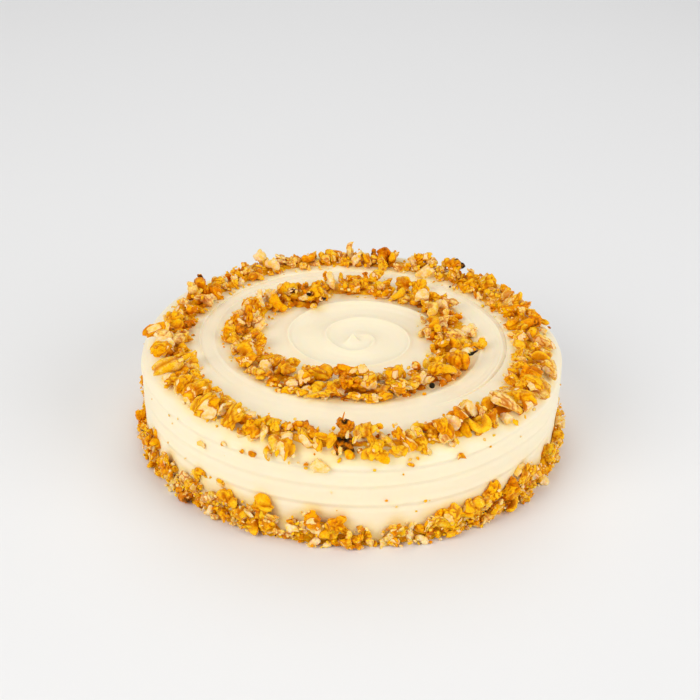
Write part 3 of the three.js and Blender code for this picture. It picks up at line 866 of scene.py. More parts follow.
class NodeSketch:
    """Short ways to add and link the nodes of a material or a group."""

    def __init__(self, tree):
        self.tree = tree

    def add(self, kind, **values):
        node = self.tree.nodes.new(kind)
        for name, value in values.items():
            if name in node.inputs:
                self.feed(node.inputs[name], value)
            else:
                setattr(node, name, value)
        return node

    def feed(self, socket, value):
        if isinstance(value, bpy.types.NodeSocket):
            self.tree.links.new(value, socket)
        else:
            socket.default_value = value

    def math(self, operation, first, second=0.0, clamp=False):
        node = self.add("ShaderNodeMath", operation=operation, use_clamp=clamp)
        self.feed(node.inputs[0], first)
        self.feed(node.inputs[1], second)
        return node.outputs[0]

    def spread(self, value, low, high, new_low=0.0, new_high=1.0):
        node = self.add("ShaderNodeMapRange", clamp=True)
        for name, number in (
            ("Value", value), ("From Min", low), ("From Max", high),
            ("To Min", new_low), ("To Max", new_high),
        ):
            self.feed(node.inputs[name], number)
        return node.outputs[0]

    def blend(self, share, first, second, blend_type="MIX"):
        node = self.add("ShaderNodeMix", data_type="RGBA", blend_type=blend_type)
        self.feed(node.inputs[0], share)
        self.feed(node.inputs[6], first)
        self.feed(node.inputs[7], second)
        return node.outputs[2]

    def noise(self, place, scale, detail=2.0, roughness=0.5, distortion=0.0):
        node = self.add("ShaderNodeTexNoise")
        self.feed(node.inputs["Vector"], place)
        self.feed(node.inputs["Scale"], scale)
        self.feed(node.inputs["Detail"], detail)
        self.feed(node.inputs["Roughness"], roughness)
        self.feed(node.inputs["Distortion"], distortion)
        return node.outputs["Fac"]

    def face_value(self, name):
        return self.add("ShaderNodeAttribute", attribute_name=name).outputs["Fac"]


def mottle_group():
    """Patches of a size in millimetres, as a mask from 0 to 1 that is sharper with contrast."""
    if "Food Mottle" in bpy.data.node_groups:
        return bpy.data.node_groups["Food Mottle"]
    group = shader_group("Food Mottle", [("Size", 5.0), ("Contrast", 1.0)], ["Mask"])
    sketch = NodeSketch(group)
    given = sketch.add("NodeGroupInput")
    place = sketch.add("ShaderNodeTexCoord").outputs["Object"]
    scale = sketch.math("DIVIDE", 1 / MM, given.outputs["Size"])
    patches = sketch.noise(place, scale, 3.0, 0.55)
    centred = sketch.math("SUBTRACT", patches, 0.5)
    raised = sketch.math("MULTIPLY", centred, sketch.math("MULTIPLY", given.outputs["Contrast"], 2.5))
    result = sketch.add("NodeGroupOutput")
    sketch.feed(result.inputs["Mask"], sketch.math("ADD", raised, 0.5, clamp=True))
    return group


def grain_group():
    """The height of a fine grain: a coarse and a fine unevenness, with sizes in millimetres."""
    if "Food Grain" in bpy.data.node_groups:
        return bpy.data.node_groups["Food Grain"]
    inputs = [("Coarse Size", 2.0), ("Fine Size", 0.4), ("Fine Share", 0.3)]
    group = shader_group("Food Grain", inputs, ["Height"])
    sketch = NodeSketch(group)
    given = sketch.add("NodeGroupInput")
    place = sketch.add("ShaderNodeTexCoord").outputs["Object"]
    coarse = sketch.noise(place, sketch.math("DIVIDE", 1 / MM, given.outputs["Coarse Size"]), 2.0)
    fine = sketch.noise(place, sketch.math("DIVIDE", 1 / MM, given.outputs["Fine Size"]), 3.0, 0.6)
    share = given.outputs["Fine Share"]
    kept = sketch.math("MULTIPLY", coarse, sketch.math("SUBTRACT", 1.0, share))
    height = sketch.math("ADD", kept, sketch.math("MULTIPLY", fine, share))
    result = sketch.add("NodeGroupOutput")
    sketch.feed(result.inputs["Height"], height)
    return group


def place_group(sketch, group, **values):
    node = sketch.add("ShaderNodeGroup", node_tree=group)
    for name, value in values.items():
        sketch.feed(node.inputs[name.replace("_", " ")], value)
    return node.outputs[0]


def food_material(name):
    """A new material with its shader, ready to be fed."""
    material = bpy.data.materials.new(name)
    material.use_nodes = True
    sketch = NodeSketch(material.node_tree)
    return material, sketch, material.node_tree.nodes["Principled BSDF"]


def four(colour):
    return (*colour[:3], 1.0)


def frosting_material(settings):
    """Whipped cream cheese frosting: satin, faintly mottled, with fine spatula and air marks."""
    material, sketch, shader = food_material("cream_frosting")
    patches = place_group(sketch, mottle_group(), Size=38.0, Contrast=0.9)
    specks = place_group(sketch, mottle_group(), Size=3.0, Contrast=0.7)
    broad = sketch.blend(patches, four(settings.colour), four(settings.deep_colour))
    colour = sketch.blend(sketch.math("MULTIPLY", specks, 0.12), broad, four(settings.light_colour))
    # Next to the walnuts the frosting turns yellow: partly a stain of walnut oil, partly painted warm
    # light bounced off them.
    oil_and_bounce_patches = place_group(sketch, mottle_group(), Size=7.0, Contrast=0.9)
    near = sketch.spread(sketch.face_value("oil"), 0.08, 0.8)
    oil_and_bounce_share = sketch.math("MULTIPLY", near, sketch.spread(oil_and_bounce_patches, 0, 1, 0.28, 0.82))
    colour = sketch.blend(oil_and_bounce_share, colour, four(settings.oil_and_bounce_colour))
    sketch.feed(shader.inputs["Base Color"], colour)
    sketch.feed(shader.inputs["Roughness"], sketch.spread(specks, 0, 1, 0.42, 0.56))
    grain = place_group(sketch, grain_group(), Coarse_Size=2.6, Fine_Size=0.5, Fine_Share=0.35)
    bump = sketch.add("ShaderNodeBump", Strength=0.35, Distance=0.12 * MM, Height=grain)
    sketch.feed(shader.inputs["Normal"], bump.outputs["Normal"])
    shader.inputs["Subsurface Weight"].default_value = 0.5
    shader.inputs["Subsurface Radius"].default_value = (1.0, 0.75, 0.42)
    shader.inputs["Subsurface Scale"].default_value = 2.5 * MM
    shader.inputs["Specular IOR Level"].default_value = 0.32
    return material


def walnut_material(settings):
    """Chopped walnut: amber skin with darker veins, painted shade in its furrows and deep in a heap, and
    pale broken kernel.
    """
    material, sketch, shader = food_material("chopped_walnut")
    place = sketch.add("ShaderNodeTexCoord").outputs["Object"]
    flesh = sketch.face_value("flesh")
    crease = sketch.face_value("crease")
    tone = sketch.face_value("tone")
    patches = place_group(sketch, mottle_group(), Size=2.6, Contrast=1.3)
    flecks = place_group(sketch, mottle_group(), Size=2.4, Contrast=1.5)
    mottled = sketch.math("MULTIPLY", sketch.math("SUBTRACT", patches, 0.5), 0.26)
    shifted = sketch.math("ADD", tone, mottled)
    ramp = sketch.add("ShaderNodeValToRGB", Fac=shifted)
    stops = [
        (0.0, settings.pale_skin), (0.3, settings.light_skin), (0.55, settings.golden_skin),
        (0.75, settings.brown_skin), (0.93, settings.dark_skin), (1.0, settings.black),
    ]
    band = ramp.color_ramp
    band.elements[0].position = stops[0][0]
    band.elements[0].color = four(stops[0][1])
    band.elements[1].position = stops[-1][0]
    band.elements[1].color = four(stops[-1][1])
    for position, colour in stops[1:-1]:
        band.elements.new(position).color = four(colour)
    ridges = sketch.noise(place, 0.45 / MM, 2.0, 0.5, 0.6)
    from_vein = sketch.math("ABSOLUTE", sketch.math("SUBTRACT", ridges, 0.5))
    vein = sketch.spread(from_vein, 0.0, 0.035, 0.55, 0.0)
    veined = sketch.blend(vein, ramp.outputs["Color"], four(settings.vein_colour), "DARKEN")
    # Painted shade: the skin is darkened in its creases and furrows and where it lies deep in a heap.
    furrow = sketch.math("MULTIPLY", crease, 0.9)
    painted_shading = sketch.blend(furrow, veined, four(settings.furrow_shade_colour), "DARKEN")
    kernel = sketch.blend(flecks, four(settings.flesh_colour), four(settings.deep_flesh_colour))
    ragged = sketch.math("ADD", flesh, sketch.math("MULTIPLY", sketch.math("SUBTRACT", flecks, 0.5), 0.3))
    shown = sketch.spread(ragged, 0.46, 0.54)
    broken = sketch.blend(shown, painted_shading, kernel)
    from_edge = sketch.math("ABSOLUTE", sketch.math("SUBTRACT", ragged, 0.42))
    rim = sketch.spread(from_edge, 0.03, 0.2, 0.85, 0.0)
    colour = sketch.blend(rim, broken, four(settings.vein_colour))
    sketch.feed(shader.inputs["Base Color"], colour)
    rough = sketch.spread(flecks, 0, 1, 0.14, 0.4)
    sketch.feed(shader.inputs["Roughness"], rough)
    grain = place_group(sketch, grain_group(), Coarse_Size=1.6, Fine_Size=0.4, Fine_Share=0.35)
    bump = sketch.add("ShaderNodeBump", Strength=0.7, Distance=0.32 * MM, Height=grain)
    sketch.feed(shader.inputs["Normal"], bump.outputs["Normal"])
    shader.inputs["Subsurface Weight"].default_value = 0.35
    shader.inputs["Subsurface Radius"].default_value = (1.0, 0.5, 0.06)
    shader.inputs["Subsurface Scale"].default_value = 1.5 * MM
    shader.inputs["Specular IOR Level"].default_value = 0.13
    shader.inputs["Specular Tint"].default_value = (1.0, 0.72, 0.3, 1.0)
    return material


def floor_material(settings):
    """A pale table top with a faint unevenness."""
    material, sketch, shader = food_material("pale_floor")
    patches = place_group(sketch, mottle_group(), Size=400.0, Contrast=0.5)
    shade = [0.985 * value for value in settings.floor_colour]
    colour = sketch.blend(patches, four(settings.floor_colour), four(shade))
    sketch.feed(shader.inputs["Base Color"], colour)
    shader.inputs["Roughness"].default_value = 0.7
    return material


# ---------------------------------------------------------------- settings


def colour_setting(name, description, default):
    return bpy.props.FloatVectorProperty(
        name=name, description=description, subtype="COLOR", size=3, min=0, max=1, default=default
    )


class FrostingSettings(bpy.types.PropertyGroup):
    """What a user may change of the frosting."""

    columns: bpy.props.IntProperty(
        name="Columns", description="How many faces run around the cake", default=400, min=60, max=480
    )
    spacing: bpy.props.FloatProperty(
        name="Spacing", description="Distance between rows of faces, in millimetres",
        default=0.8, min=0.6, max=4,
    )
    colour: colour_setting("Frosting", "Colour of most of the frosting", (0.935, 0.82, 0.60))
    deep_colour: colour_setting("Deep frosting", "Colour of its richer patches", (0.925, 0.80, 0.565))
    light_colour: colour_setting("Light frosting", "Colour of its palest specks", (0.96, 0.87, 0.70))
    oil_and_bounce_colour: colour_setting("Oil and bounced light", "Colour next to the walnuts", (0.96, 0.74, 0.21))


class WalnutSettings(bpy.types.PropertyGroup):
    """What a user may change of the chopped walnuts."""

    outer_pieces: bpy.props.IntProperty(
        name="Outer ring", description="Pieces in the outer ring", default=285, min=20, max=600
    )
    inner_pieces: bpy.props.IntProperty(
        name="Inner ring", description="Pieces in the inner ring", default=200, min=20, max=400
    )
    band_pieces: bpy.props.IntProperty(
        name="Foot band", description="Pieces in the band around the foot", default=560, min=20, max=800
    )
    pale_skin: colour_setting("Pale skin", "Palest skin", (0.97, 0.71, 0.27))
    light_skin: colour_setting("Light skin", "Light skin", (0.98, 0.585, 0.02))
    golden_skin: colour_setting("Golden skin", "Most common skin", (0.98, 0.485, 0.001))
    brown_skin: colour_setting("Brown skin", "Darker skin", (0.78, 0.24, 0.002))
    dark_skin: colour_setting("Dark skin", "Darkest brown skin", (0.085, 0.026, 0.004))
    black: colour_setting("Black", "Black specks", (0.012, 0.009, 0.007))
    vein_colour: colour_setting("Veins", "Thin veins in the skin", (0.60, 0.15, 0.001))
    furrow_shade_colour: colour_setting("Painted shade", "Painted shade in furrows and deep in a heap", (0.58, 0.14, 0.001))
    flesh_colour: colour_setting("Kernel", "Broken kernel", (0.98, 0.75, 0.44))
    deep_flesh_colour: colour_setting("Deep kernel", "Oily patches of kernel", (0.97, 0.58, 0.08))


class StageSettings(bpy.types.PropertyGroup):
    """The floor, light and camera."""

    floor_colour: colour_setting("Floor", "Colour of the floor", (0.84, 0.84, 0.845))
    floor_radius: bpy.props.FloatProperty(
        name="Floor radius", description="How far the floor reaches", default=4, unit="LENGTH"
    )
    sky_strength: bpy.props.FloatProperty(
        name="Sky", description="Strength of the light from all around", default=0.47, min=0
    )
    key_power: bpy.props.FloatProperty(
        name="Key light", description="Power of the large soft light", default=15.5, min=0, unit="POWER"
    )
    fill_power: bpy.props.FloatProperty(
        name="Fill light", description="Power of the light opposite", default=10.5, min=0, unit="POWER"
    )
    top_power: bpy.props.FloatProperty(
        name="Top light", description="Power of the light above", default=5.5, min=0, unit="POWER"
    )


# ---------------------------------------------------------------- pieces


skin = Skin()

# The outer ring's pieces that stand out: angle in degrees, radius, length, width, kind, tone, how
# bare of skin, and how they lie in degrees: far end raised, spun from the way around to the way
# down, and rolled.
OUTER_HEROES = [
    (304.5, 90, 11, 9.3, "lump", 0.16, 0.35, 20, 60, 0), (300.2, 95, 7, 6, "lump", 0.74, 0.0, 0, 90, 0),
    (309.2, 98, 8.5, 4.2, "shard", 0.66, 0.0, 5, 330, 0),
    (320.6, 97, 12, 9.5, "ridged", 0.46, 0.0, 18, 88, 0), (327.5, 97, 9, 7.6, "lump", 0.42, 0.2, 0, 0, 0),
    (314.6, 95, 14.5, 9, "block", 0.18, 0.1, 6, 75, 25),
    (333.5, 92, 12, 10.2, "ridged", 0.7, 0.0, 15, 40, 0), (343.0, 93, 9, 6.3, "curl", 0.5, 0.0, 0, 0, 0),
    (5.8, 91, 11, 9.3, "ridged", 0.62, 0.0, 10, 40, 0),
    (16.0, 82, 9.5, 1.1, "splinter", 0.42, 0.0, 8, 262, 0),
    (22.0, 90, 11, 5.5, "shard", 0.38, 0.0, 62, 90, 0),
    (218.4, 96, 12.5, 10.6, "lump", 0.56, 0.2, 28, 60, 0),
    (214.0, 98, 10, 5, "shard", 0.36, 0.3, 20, 130, 0),
    (208.8, 95.5, 12, 9, "pebble", 0.22, 0.0, 12, 95, 0),
    (197.4, 93, 9, 6.8, "pebble", 0.06, 0.6, 20, 150, 0),
    (199.5, 95, 10, 8.5, "ridged", 0.52, 0.0, 0, 20, 0), (187.6, 93, 10, 8, "block", 0.66, 0.0, 0, 60, 0),
    (192.5, 91.5, 8.5, 6.4, "pebble", 0.1, 0.7, 15, 100, 0),
    (180.5, 89, 12, 10.2, "lump", 0.44, 0.0, 10, 0, 0),
    (230.0, 98, 12.5, 10.6, "lump", 0.44, 0.0, 10, 30, 0),
    (224.0, 97, 10, 8.5, "ridged", 0.5, 0.1, 10, 70, 0),
    (153.0, 88, 12, 10.2, "ridged", 0.66, 0.0, 48, 60, 0),
    (158.0, 90, 9.5, 7.1, "pebble", 0.16, 0.5, 50, 90, 0),
    (151.0, 92, 6, 3, "shard", 0.97, 0.0, 60, 60, 0),
    (124.0, 91, 10.5, 7.9, "pebble", 0.1, 0.7, 66, 90, 0),
    (92.0, 90, 10.5, 5.2, "shard", 0.14, 0.5, 66, 90, 0),
    (80.0, 89, 11, 9.3, "lump", 0.72, 0.0, 30, 100, 0), (54.0, 90, 10, 8.5, "lump", 0.6, 0.0, 0, 0, 0),
    (52.5, 92, 7, 5.6, "block", 0.98, 0.0, 20, 0, 0),
    (38.0, 89, 12, 10.2, "ridged", 0.42, 0.0, 10, 10, 0),
    (66.0, 88, 11, 9.3, "ridged", 0.4, 0.0, 15, 170, 0),
    (276.3, 100.9, 12, 11.5, "kernel", 0.46, 0, 0, 88, 0),
    (282.3, 101.4, 8.5, 5, "pebble", 0.34, 0, 0, 4, 0),
    (279.4, 97, 12, 4.5, "shard", 0.16, 0.4, 0, 50, 0), (274.4, 95, 9, 7, "lump", 0.36, 0, 0, 10, 0),
    (289, 92, 10.5, 9, "curl", 0.42, 0, 10, 270, 0),
    (288.2, 100.4, 10, 7.5, "kernel", 0.4, 0.1, 0, 85, 0),
    (284.4, 99.6, 7.5, 4.5, "block", 0.62, 0, 0, 60, 0), (286, 96.5, 6, 4.5, "pebble", 0.2, 0, 0, 20, 0),
    (255.7, 91.5, 11, 8.5, "kernel", 0.64, 0, 12, 10, 0),
    (253, 90.5, 6, 1, "splinter", 0.9, 0, 35, 130, 0),
    (258.4, 98, 14.5, 5.5, "shard", 0.42, 0.2, 0, 42, 20),
    (262.4, 100.6, 5.5, 4, "block", 0.4, 0, 0, 60, 0), (260.6, 94, 7, 1, "splinter", 0.8, 0, 10, 30, 0),
    (253.8, 98, 7.5, 6.5, "pebble", 0.3, 0.3, 0, 60, 0),
    (251.2, 100.8, 8, 5.5, "block", 0.3, 0.5, 0, 65, 0),
    (254.4, 102, 8.5, 7, "lump", 0.52, 0.2, 0, 30, 0), (250.6, 103.4, 6, 4, "block", 0.4, 0.2, 0, 75, 0),
    (243.6, 97.4, 9.5, 8.5, "kernel", 0.46, 0, 0, 80, 0),
    (245.6, 100.4, 7, 6, "lump", 0.56, 0.3, 0, 20, 0), (239, 99, 10, 8, "ridged", 0.42, 0, 0, 100, 0),
    (268.6, 93.8, 12, 9, "kernel", 0.69, 0.0, 52, 270, 0),
    (268.8, 99.2, 9.8, 7.4, "kernel", 0.9, 0, 0, 10, 0),
    (269.8, 102.2, 4.8, 3.6, "pebble", 0.5, 0, 0, 15, 0),
    (266.9, 101.6, 4.8, 2.8, "block", 0.88, 0, 0, 60, 0),
    (268.0, 91.4, 9, 1.5, "splinter", 0.78, 0, 62, 268, 0), (293.5, 97, 9, 7.5, "lump", 0.5, 0, 0, 30, 0),
    (248.5, 95, 5, 4, "pebble", 0.35, 0, 0, 20, 0), (250.2, 95.5, 6.5, 5, "lump", 0.4, 0, 0, 60, 0),
    (248.3, 99, 7, 3.5, "shard", 0.1, 0.6, 0, 70, 0), (260.6, 96.5, 8.5, 4.5, "shard", 0.7, 0, 0, 40, 0),
    (263.6, 98.2, 8, 2.8, "shard", 0.5, 0, 0, 10, 0), (264.2, 95, 3.2, 2.6, "pebble", 0.3, 0, 0, 0, 0),
    (272.3, 101.4, 2.6, 2, "block", 0.86, 0, 0, 0, 0),
    (277.8, 93.4, 3.8, 2.6, "block", 0.66, 0, 0, 30, 0), (282.4, 97.2, 6.5, 5, "lump", 0.55, 0, 0, 40, 0),
    (287.4, 96.4, 6.5, 4.2, "block", 0.3, 0.5, 0, 60, 0), (292, 98.4, 8, 6.5, "lump", 0.4, 0.1, 0, 70, 0),
    (291.6, 93.5, 6, 4.5, "block", 0.68, 0, 0, 20, 0),
    (241.6, 101.2, 5.5, 4, "block", 0.3, 0.6, 0, 40, 0), (247, 93, 6, 4.5, "lump", 0.55, 0, 0, 0, 0),
    (271.6, 97.5, 6, 4, "lump", 0.3, 0, 0, 100, 0), (265.6, 98.6, 5.5, 4, "pebble", 0.42, 0, 0, 120, 0),
    (241.2, 95, 8, 6, "lump", 0.5, 0.2, 0, 150, 0), (253.4, 94.6, 6, 5, "lump", 0.5, 0.1, 0, 0, 0),
]
# The same for the inner ring, but spun anticlockwise from +X.
INNER_HEROES = [
    (267.0, 46, 12.5, 10.6, "ridged", 0.6, 0.0, 52, 262, 0),
    (274.5, 47, 9.5, 8.1, "lump", 0.5, 0.0, 48, 262, 0),
    (291.0, 52, 9.5, 7.6, "block", 0.5, 0.0, 30, 262, 0),
    (315.0, 57, 13, 11, "ridged", 0.5, 0.0, 12, 330, 0),
    (330.0, 58, 12, 10.2, "lump", 0.56, 0.0, 10, 0, 0), (334.8, 61.8, 6, 3, "shard", 1.15, 0.0, 0, 20, 0),
    (336.0, 60, 6.5, 4.9, "pebble", 0.02, 1.0, 0, 60, 0),
    (45.0, 50, 9, 6.8, "pebble", 0.02, 1.0, 12, 20, 0), (24.0, 43, 12, 8.4, "curl", 0.2, 0.0, 0, 0, 0),
    (8.0, 40, 10, 7, "curl", 0.58, 0.0, 10, 0, 0), (119.0, 40, 11, 9.3, "ridged", 0.44, 0.0, 10, 30, 0),
    (133.0, 51, 11, 9.3, "lump", 0.4, 0.0, 0, 0, 0), (133.0, 45.5, 4.5, 3.6, "block", 1.0, 0.0, 0, 0, 0),
    (119.8, 33.5, 4, 3.2, "block", 1.0, 0.0, 0, 30, 0), (127.0, 38, 3.5, 2.8, "block", 1.0, 0.0, 0, 0, 0),
    (104.0, 55, 5.5, 2.8, "shard", 1.0, 0.0, 50, 60, 0),
    (160.0, 55, 13, 11, "ridged", 0.52, 0.0, 25, 60, 0),
    (170.0, 52, 11, 9.3, "ridged", 0.62, 0.0, 20, 80, 0),
    (150.0, 56, 10, 5, "shard", 0.08, 0.7, 40, 100, 0), (182.0, 57, 9, 7.2, "block", 0.7, 0.0, 10, 0, 0),
    (208.0, 58, 11, 7.7, "curl", 0.5, 0.0, 20, 60, 0), (352.0, 63, 8.5, 7.2, "lump", 0.4, 0.2, 0, 40, 0),
    (279.2, 62.4, 9.6, 8.1, "kernel", 0.35, 0.4, 0, 20, 0),
    (285.6, 57.4, 9.0, 8.1, "block", 0.3, 0.3, 0, 0, 0),
    (291.2, 57.5, 9.6, 8.1, "block", 0.55, 0.2, 0, 70, 0),
    (297.4, 57.8, 10.8, 5.6, "flake", 0, 1, 20, 262, 0),
    (272.3, 54.6, 13.2, 10.6, "kernel", 0.6, 0, 40, 262, 0),
    (258.5, 58.6, 9.6, 5.6, "flake", 0.05, 0.9, 20, 262, 0),
    (250.7, 60.4, 9.0, 7.0, "pebble", 0.2, 0.3, 0, 262, 0),
    (254.5, 59.6, 9.0, 6.8, "pebble", 0.42, 0, 0, 262, 0),
    (243, 63.6, 12.0, 5.5, "shard", 0.38, 0, 0, 15, 0), (239.5, 64.0, 4.5, 3, "block", 0.8, 0, 0, 60, 0),
    (243.3, 60.4, 6.0, 5.0, "block", 0, 1, 0, 0, 0), (262.6, 58.4, 10.8, 8.8, "lump", 0.5, 0, 0, 10, 0),
    (257, 63.8, 10.8, 3.5, "shard", 0.32, 0, 0, 8, 0), (267.7, 62.4, 4.5, 2, "block", 0.84, 0, 0, 5, 0),
    (272.5, 62.2, 10.2, 3.8, "shard", 0.24, 0.2, 0, 345, 0), (306, 57, 9.6, 6.2, "flake", 0, 1, 10, 0, 0),
    (297, 62.0, 9.6, 4.2, "shard", 0.3, 0, 0, 350, 0), (234, 62.8, 8.5, 6.5, "lump", 0.6, 0, 0, 40, 0),
    (267, 57.6, 9.6, 7.5, "ridged", 0.66, 0, 20, 262, 0),
    (277.4, 57.8, 9.6, 7.5, "lump", 0.4, 0.2, 0, 60, 0),
    (247.4, 57.4, 9.6, 7.5, "lump", 0.5, 0.2, 10, 262, 0),
    (302.2, 57.2, 9.0, 6.9, "lump", 0.36, 0.2, 0, 60, 0), (285, 62.6, 7.2, 5.0, "lump", 0.5, 0, 0, 30, 0),
    (291, 62.8, 7.8, 4.5, "shard", 0.45, 0, 0, 355, 0), (250, 64.8, 8.4, 3.8, "shard", 0.5, 0, 0, 12, 0),
    (262.4, 63.2, 7.2, 4.5, "lump", 0.42, 0, 0, 0, 0),
]
# The band's pieces that stand out: angle in degrees, height, and the rest as for the outer ring.
BAND_HEROES = [
    (207.5, 15, 12, 10.2, "ridged", 0.72, 0.0, 0, 250, 0),
    (216.5, 17, 7, 5.3, "flake", 0.4, 0.0, 0, 60, 0), (231.6, 19.5, 6, 4.2, "curl", 0.5, 0.0, 0, 90, 0),
    (227.5, 12, 8, 6.8, "lump", 0.45, 0.0, 0, 0, 0),
    (238.6, 13.5, 10.5, 8.9, "ridged", 0.42, 0.0, 0, 40, 0),
    (243.5, 9, 8, 6.8, "lump", 0.4, 0.0, 0, 120, 0),
    (248.9, 15.5, 11.5, 9.8, "ridged", 0.55, 0.0, 0, 88, 0),
    (250.5, 8, 9, 7.6, "lump", 0.5, 0.0, 0, 60, 0), (256.5, 9, 6, 4.5, "pebble", 0.2, 1.0, 0, 20, 0),
    (261.8, 14.5, 9.5, 8.1, "ridged", 0.62, 0.0, 0, 70, 0),
    (267.4, 12, 9.5, 8.1, "ridged", 0.6, 0.0, 0, 110, 0), (264.5, 7, 9, 7.6, "lump", 0.5, 0.0, 0, 30, 0),
    (281.5, 9.5, 6.5, 5.2, "block", 0.6, 0.0, 0, 0, 0),
    (291.5, 10.5, 11, 8.4, "flake", 0.4, 0.0, 0, 10, 0),
    (296.5, 12, 11, 9.3, "lump", 0.42, 0.0, 0, 160, 0),
    (302.5, 12.5, 12.5, 10.6, "ridged", 0.38, 0.0, 0, 30, 0),
    (308.9, 16, 11.5, 9.8, "ridged", 0.5, 0.0, 0, 80, 0),
    (316.0, 12.5, 12, 10.2, "ridged", 0.64, 0.0, 0, 120, 0),
    (321.6, 18, 10.5, 5.2, "shard", 0.46, 0.0, 0, 75, 0),
    (326.0, 12, 10, 8.5, "lump", 0.44, 0.0, 0, 30, 0),
    (334.5, 14, 11, 9.3, "ridged", 0.45, 0.0, 0, 60, 0), (345.0, 13, 10, 8.5, "lump", 0.4, 0.0, 0, 0, 0),
]
# Single pieces on the side, clear of the ring: angle in degrees, height, length, width, kind, tone
# and how bare of skin.
SIDE_SINGLES = [
    (262.5, 45.6, 8.2, 6.4, "chip", 0.0, 1.0), (230.9, 35.5, 4.5, 3.2, "flake", 0.3, 0.5),
    (243.2, 41.2, 3.2, 2.2, "shard", 0.6, 0.0), (245.9, 43.3, 3.6, 2.4, "block", 0.66, 0.0),
    (285.0, 44.5, 3.2, 2.2, "block", 0.5, 0.0), (297.7, 43.4, 4, 3, "flake", 0.6, 0.0),
    (238.0, 43, 3, 2.2, "block", 0.4, 0.5), (259.6, 44.6, 2.2, 1.6, "block", 0.6, 0.0),
    (236.0, 20, 5, 3.6, "flake", 0.4, 0.2), (229.5, 21, 6, 3.6, "shard", 0.5, 0.0),
]
# A single round black bead at the inner ring's outer edge: its angle in degrees and distance from
# the middle, its top, its own radius, its tone, which is past black, and how far off walnuts stay.
BEAD_PLACE = (306.5, 62.6)
BEAD_TOP = CAKE_HEIGHT + 3
BEAD_RADIUS = 1.4
BEAD_TONE = 1.3
BEAD_CLEARANCE = 4.5


def ring_lengths(count, largest, smallest, random):
    """Lengths of pieces, few large and many small."""
    share = np.linspace(0, 1, count)
    return largest * (smallest / largest) ** (share**0.85) * np.array(
        [random.between(0.88, 1.12) for _ in range(count)]
    )


def outer_ring_middle(angle):
    """The outer ring's radius: over the shoulder at the front, further in elsewhere."""
    return 90.0 - 5.8 * np.sin(angle) - 2.2 * np.cos(2 * angle) + 0.9 * np.cos(angle)


def outer_ring_half(angle):
    """Half the outer ring's width: widest at the cake's right, narrowest at its front."""
    return 8.4 + 0.5 * np.sin(angle) + 0.4 * np.cos(2 * angle) + 1.0 * np.cos(angle)


def inner_ring_half(angle):
    """Half the inner ring's width: wider at the front."""
    return 9.6 - 1.1 * np.sin(angle)


# Where the inner ring's walnuts reach further in: angle in degrees, reach, spread in degrees.
INNER_SPILLS = [(124, 15, 12), (10, 14, 22), (342, 6, 10)]
INNER_RING_MIDDLE = 54.2

# The front stretch of each ring, in degrees, that only the pieces that stand out and small ones
# fill, and how long a small one may be. On the inner ring it is the part outside a radius.
LAID_BY_HAND = (240, 293)
INNER_LAID_BY_HAND = (240, 308)
INNER_LAID_OUTSIDE = 54
FILLER_LENGTH = 5
GAP_PIECES = 22  # small pieces that are added in the gaps of that stretch
GAP_PIECE_SHORTEST = 3

# Which places a piece may have: in the stretch whose pieces are listed, outside it or both.
ANYWHERE = (True, False)
OUTSIDE_ONLY = (False,)
INSIDE_ONLY = (True,)

# Each heap's longest and shortest scattered piece, and how much earlier the longer half is laid.
RING_LENGTHS = (11.5, 4.6)
RING_LARGE_FIRST = 0.25
BAND_LENGTHS = (9.5, 3.0)
BAND_LARGE_FIRST = 0.3

# How far pieces are pressed into what lies under them. Lower and upper are a ring's first and
# second lot, and heroes the pieces that stand out.
LOWER_SINK = 0.7
UPPER_SINK = 0.6
GAP_SINK = 1.2
LOWER_HERO_SINK = 1.4
OUTER_UPPER_HERO_SINK = 1.2
INNER_UPPER_HERO_SINK = 1.8
BAND_SINK = 0.9
BAND_HERO_SINK = 1.8
SINGLE_SINK = 0.5
GRAIN_SINK = 0.3

# The crumbs between the pieces: how many, the longest, and how far past the pieces they reach.
OUTER_GRAINS = 300
INNER_GRAINS = 170
BAND_GRAINS = 850
LOOSE_GRAINS = 64
RING_GRAIN_LENGTH = 2.8
BAND_GRAIN_LENGTH = 2.2
LOOSE_GRAIN_LENGTH = 2.0
OUTER_GRAIN_REACH = 3.4
INNER_GRAIN_REACH = 3.2
BAND_GRAIN_REACH = 2.5

# How high the heaps may reach: the outer ring and the band off the frosting, the inner ring off
# the floor.
OUTER_LIMIT = 8.6
INNER_LIMIT = CAKE_HEIGHT + 8.4
BAND_LIMIT = 6.2
HERO_RISE = 1.5  # how much higher than the other pieces one that stands out may reach
PIECE_REACH = 2.8  # how far a middling piece reaches past its middle


def scattered_piece(length, random):
    """A piece of chopped walnut of that length, as the knife left it."""
    kind = pick_kind(random)
    tone = pick_tone(length, random)
    return leaned(nut_piece(kind, length, tone, random, bare_share(random)), random)


def scattered_grain(longest, random):
    """One of the crumbs between the pieces."""
    length = random.between(0.35 * longest, longest)
    bare = float(random.chance(BARE_GRAINS))
    return leaned(nut_grain(length, pick_tone(length, random), random, bare), random)


def shuffled(lengths, random, large_first):
    """The order of laying: mixed, with the large pieces a little earlier than the small."""
    marks = np.array([random.between(0, 1) for _ in lengths])
    return np.argsort(marks - large_first * (lengths > np.median(lengths)))


def zones_for(length):
    """Only small pieces are scattered over the stretch whose pieces are listed."""
    return ANYWHERE if length < FILLER_LENGTH else OUTSIDE_ONLY


def by_hand(angle, zone):
    """Whether an angle in radians is in a stretch whose pieces are listed."""
    return zone[0] < math.degrees(angle) % 360 < zone[1]


def bare_share(random):
    """Some pieces have lost their skin all over."""
    return 1.0 if random.chance(BARE_PIECES) else 0.0


def spot_on_skin(angle, radius):
    """The place on the sheet for an angle in radians and a radius on the top or shoulder."""
    return angle * skin.SHEET_RADIUS, skin.down_at_radius(radius)


def spot_on_top(angle, radius):
    """The place on the flat top for an angle in radians and a radius."""
    return radius * math.cos(angle), radius * math.sin(angle)


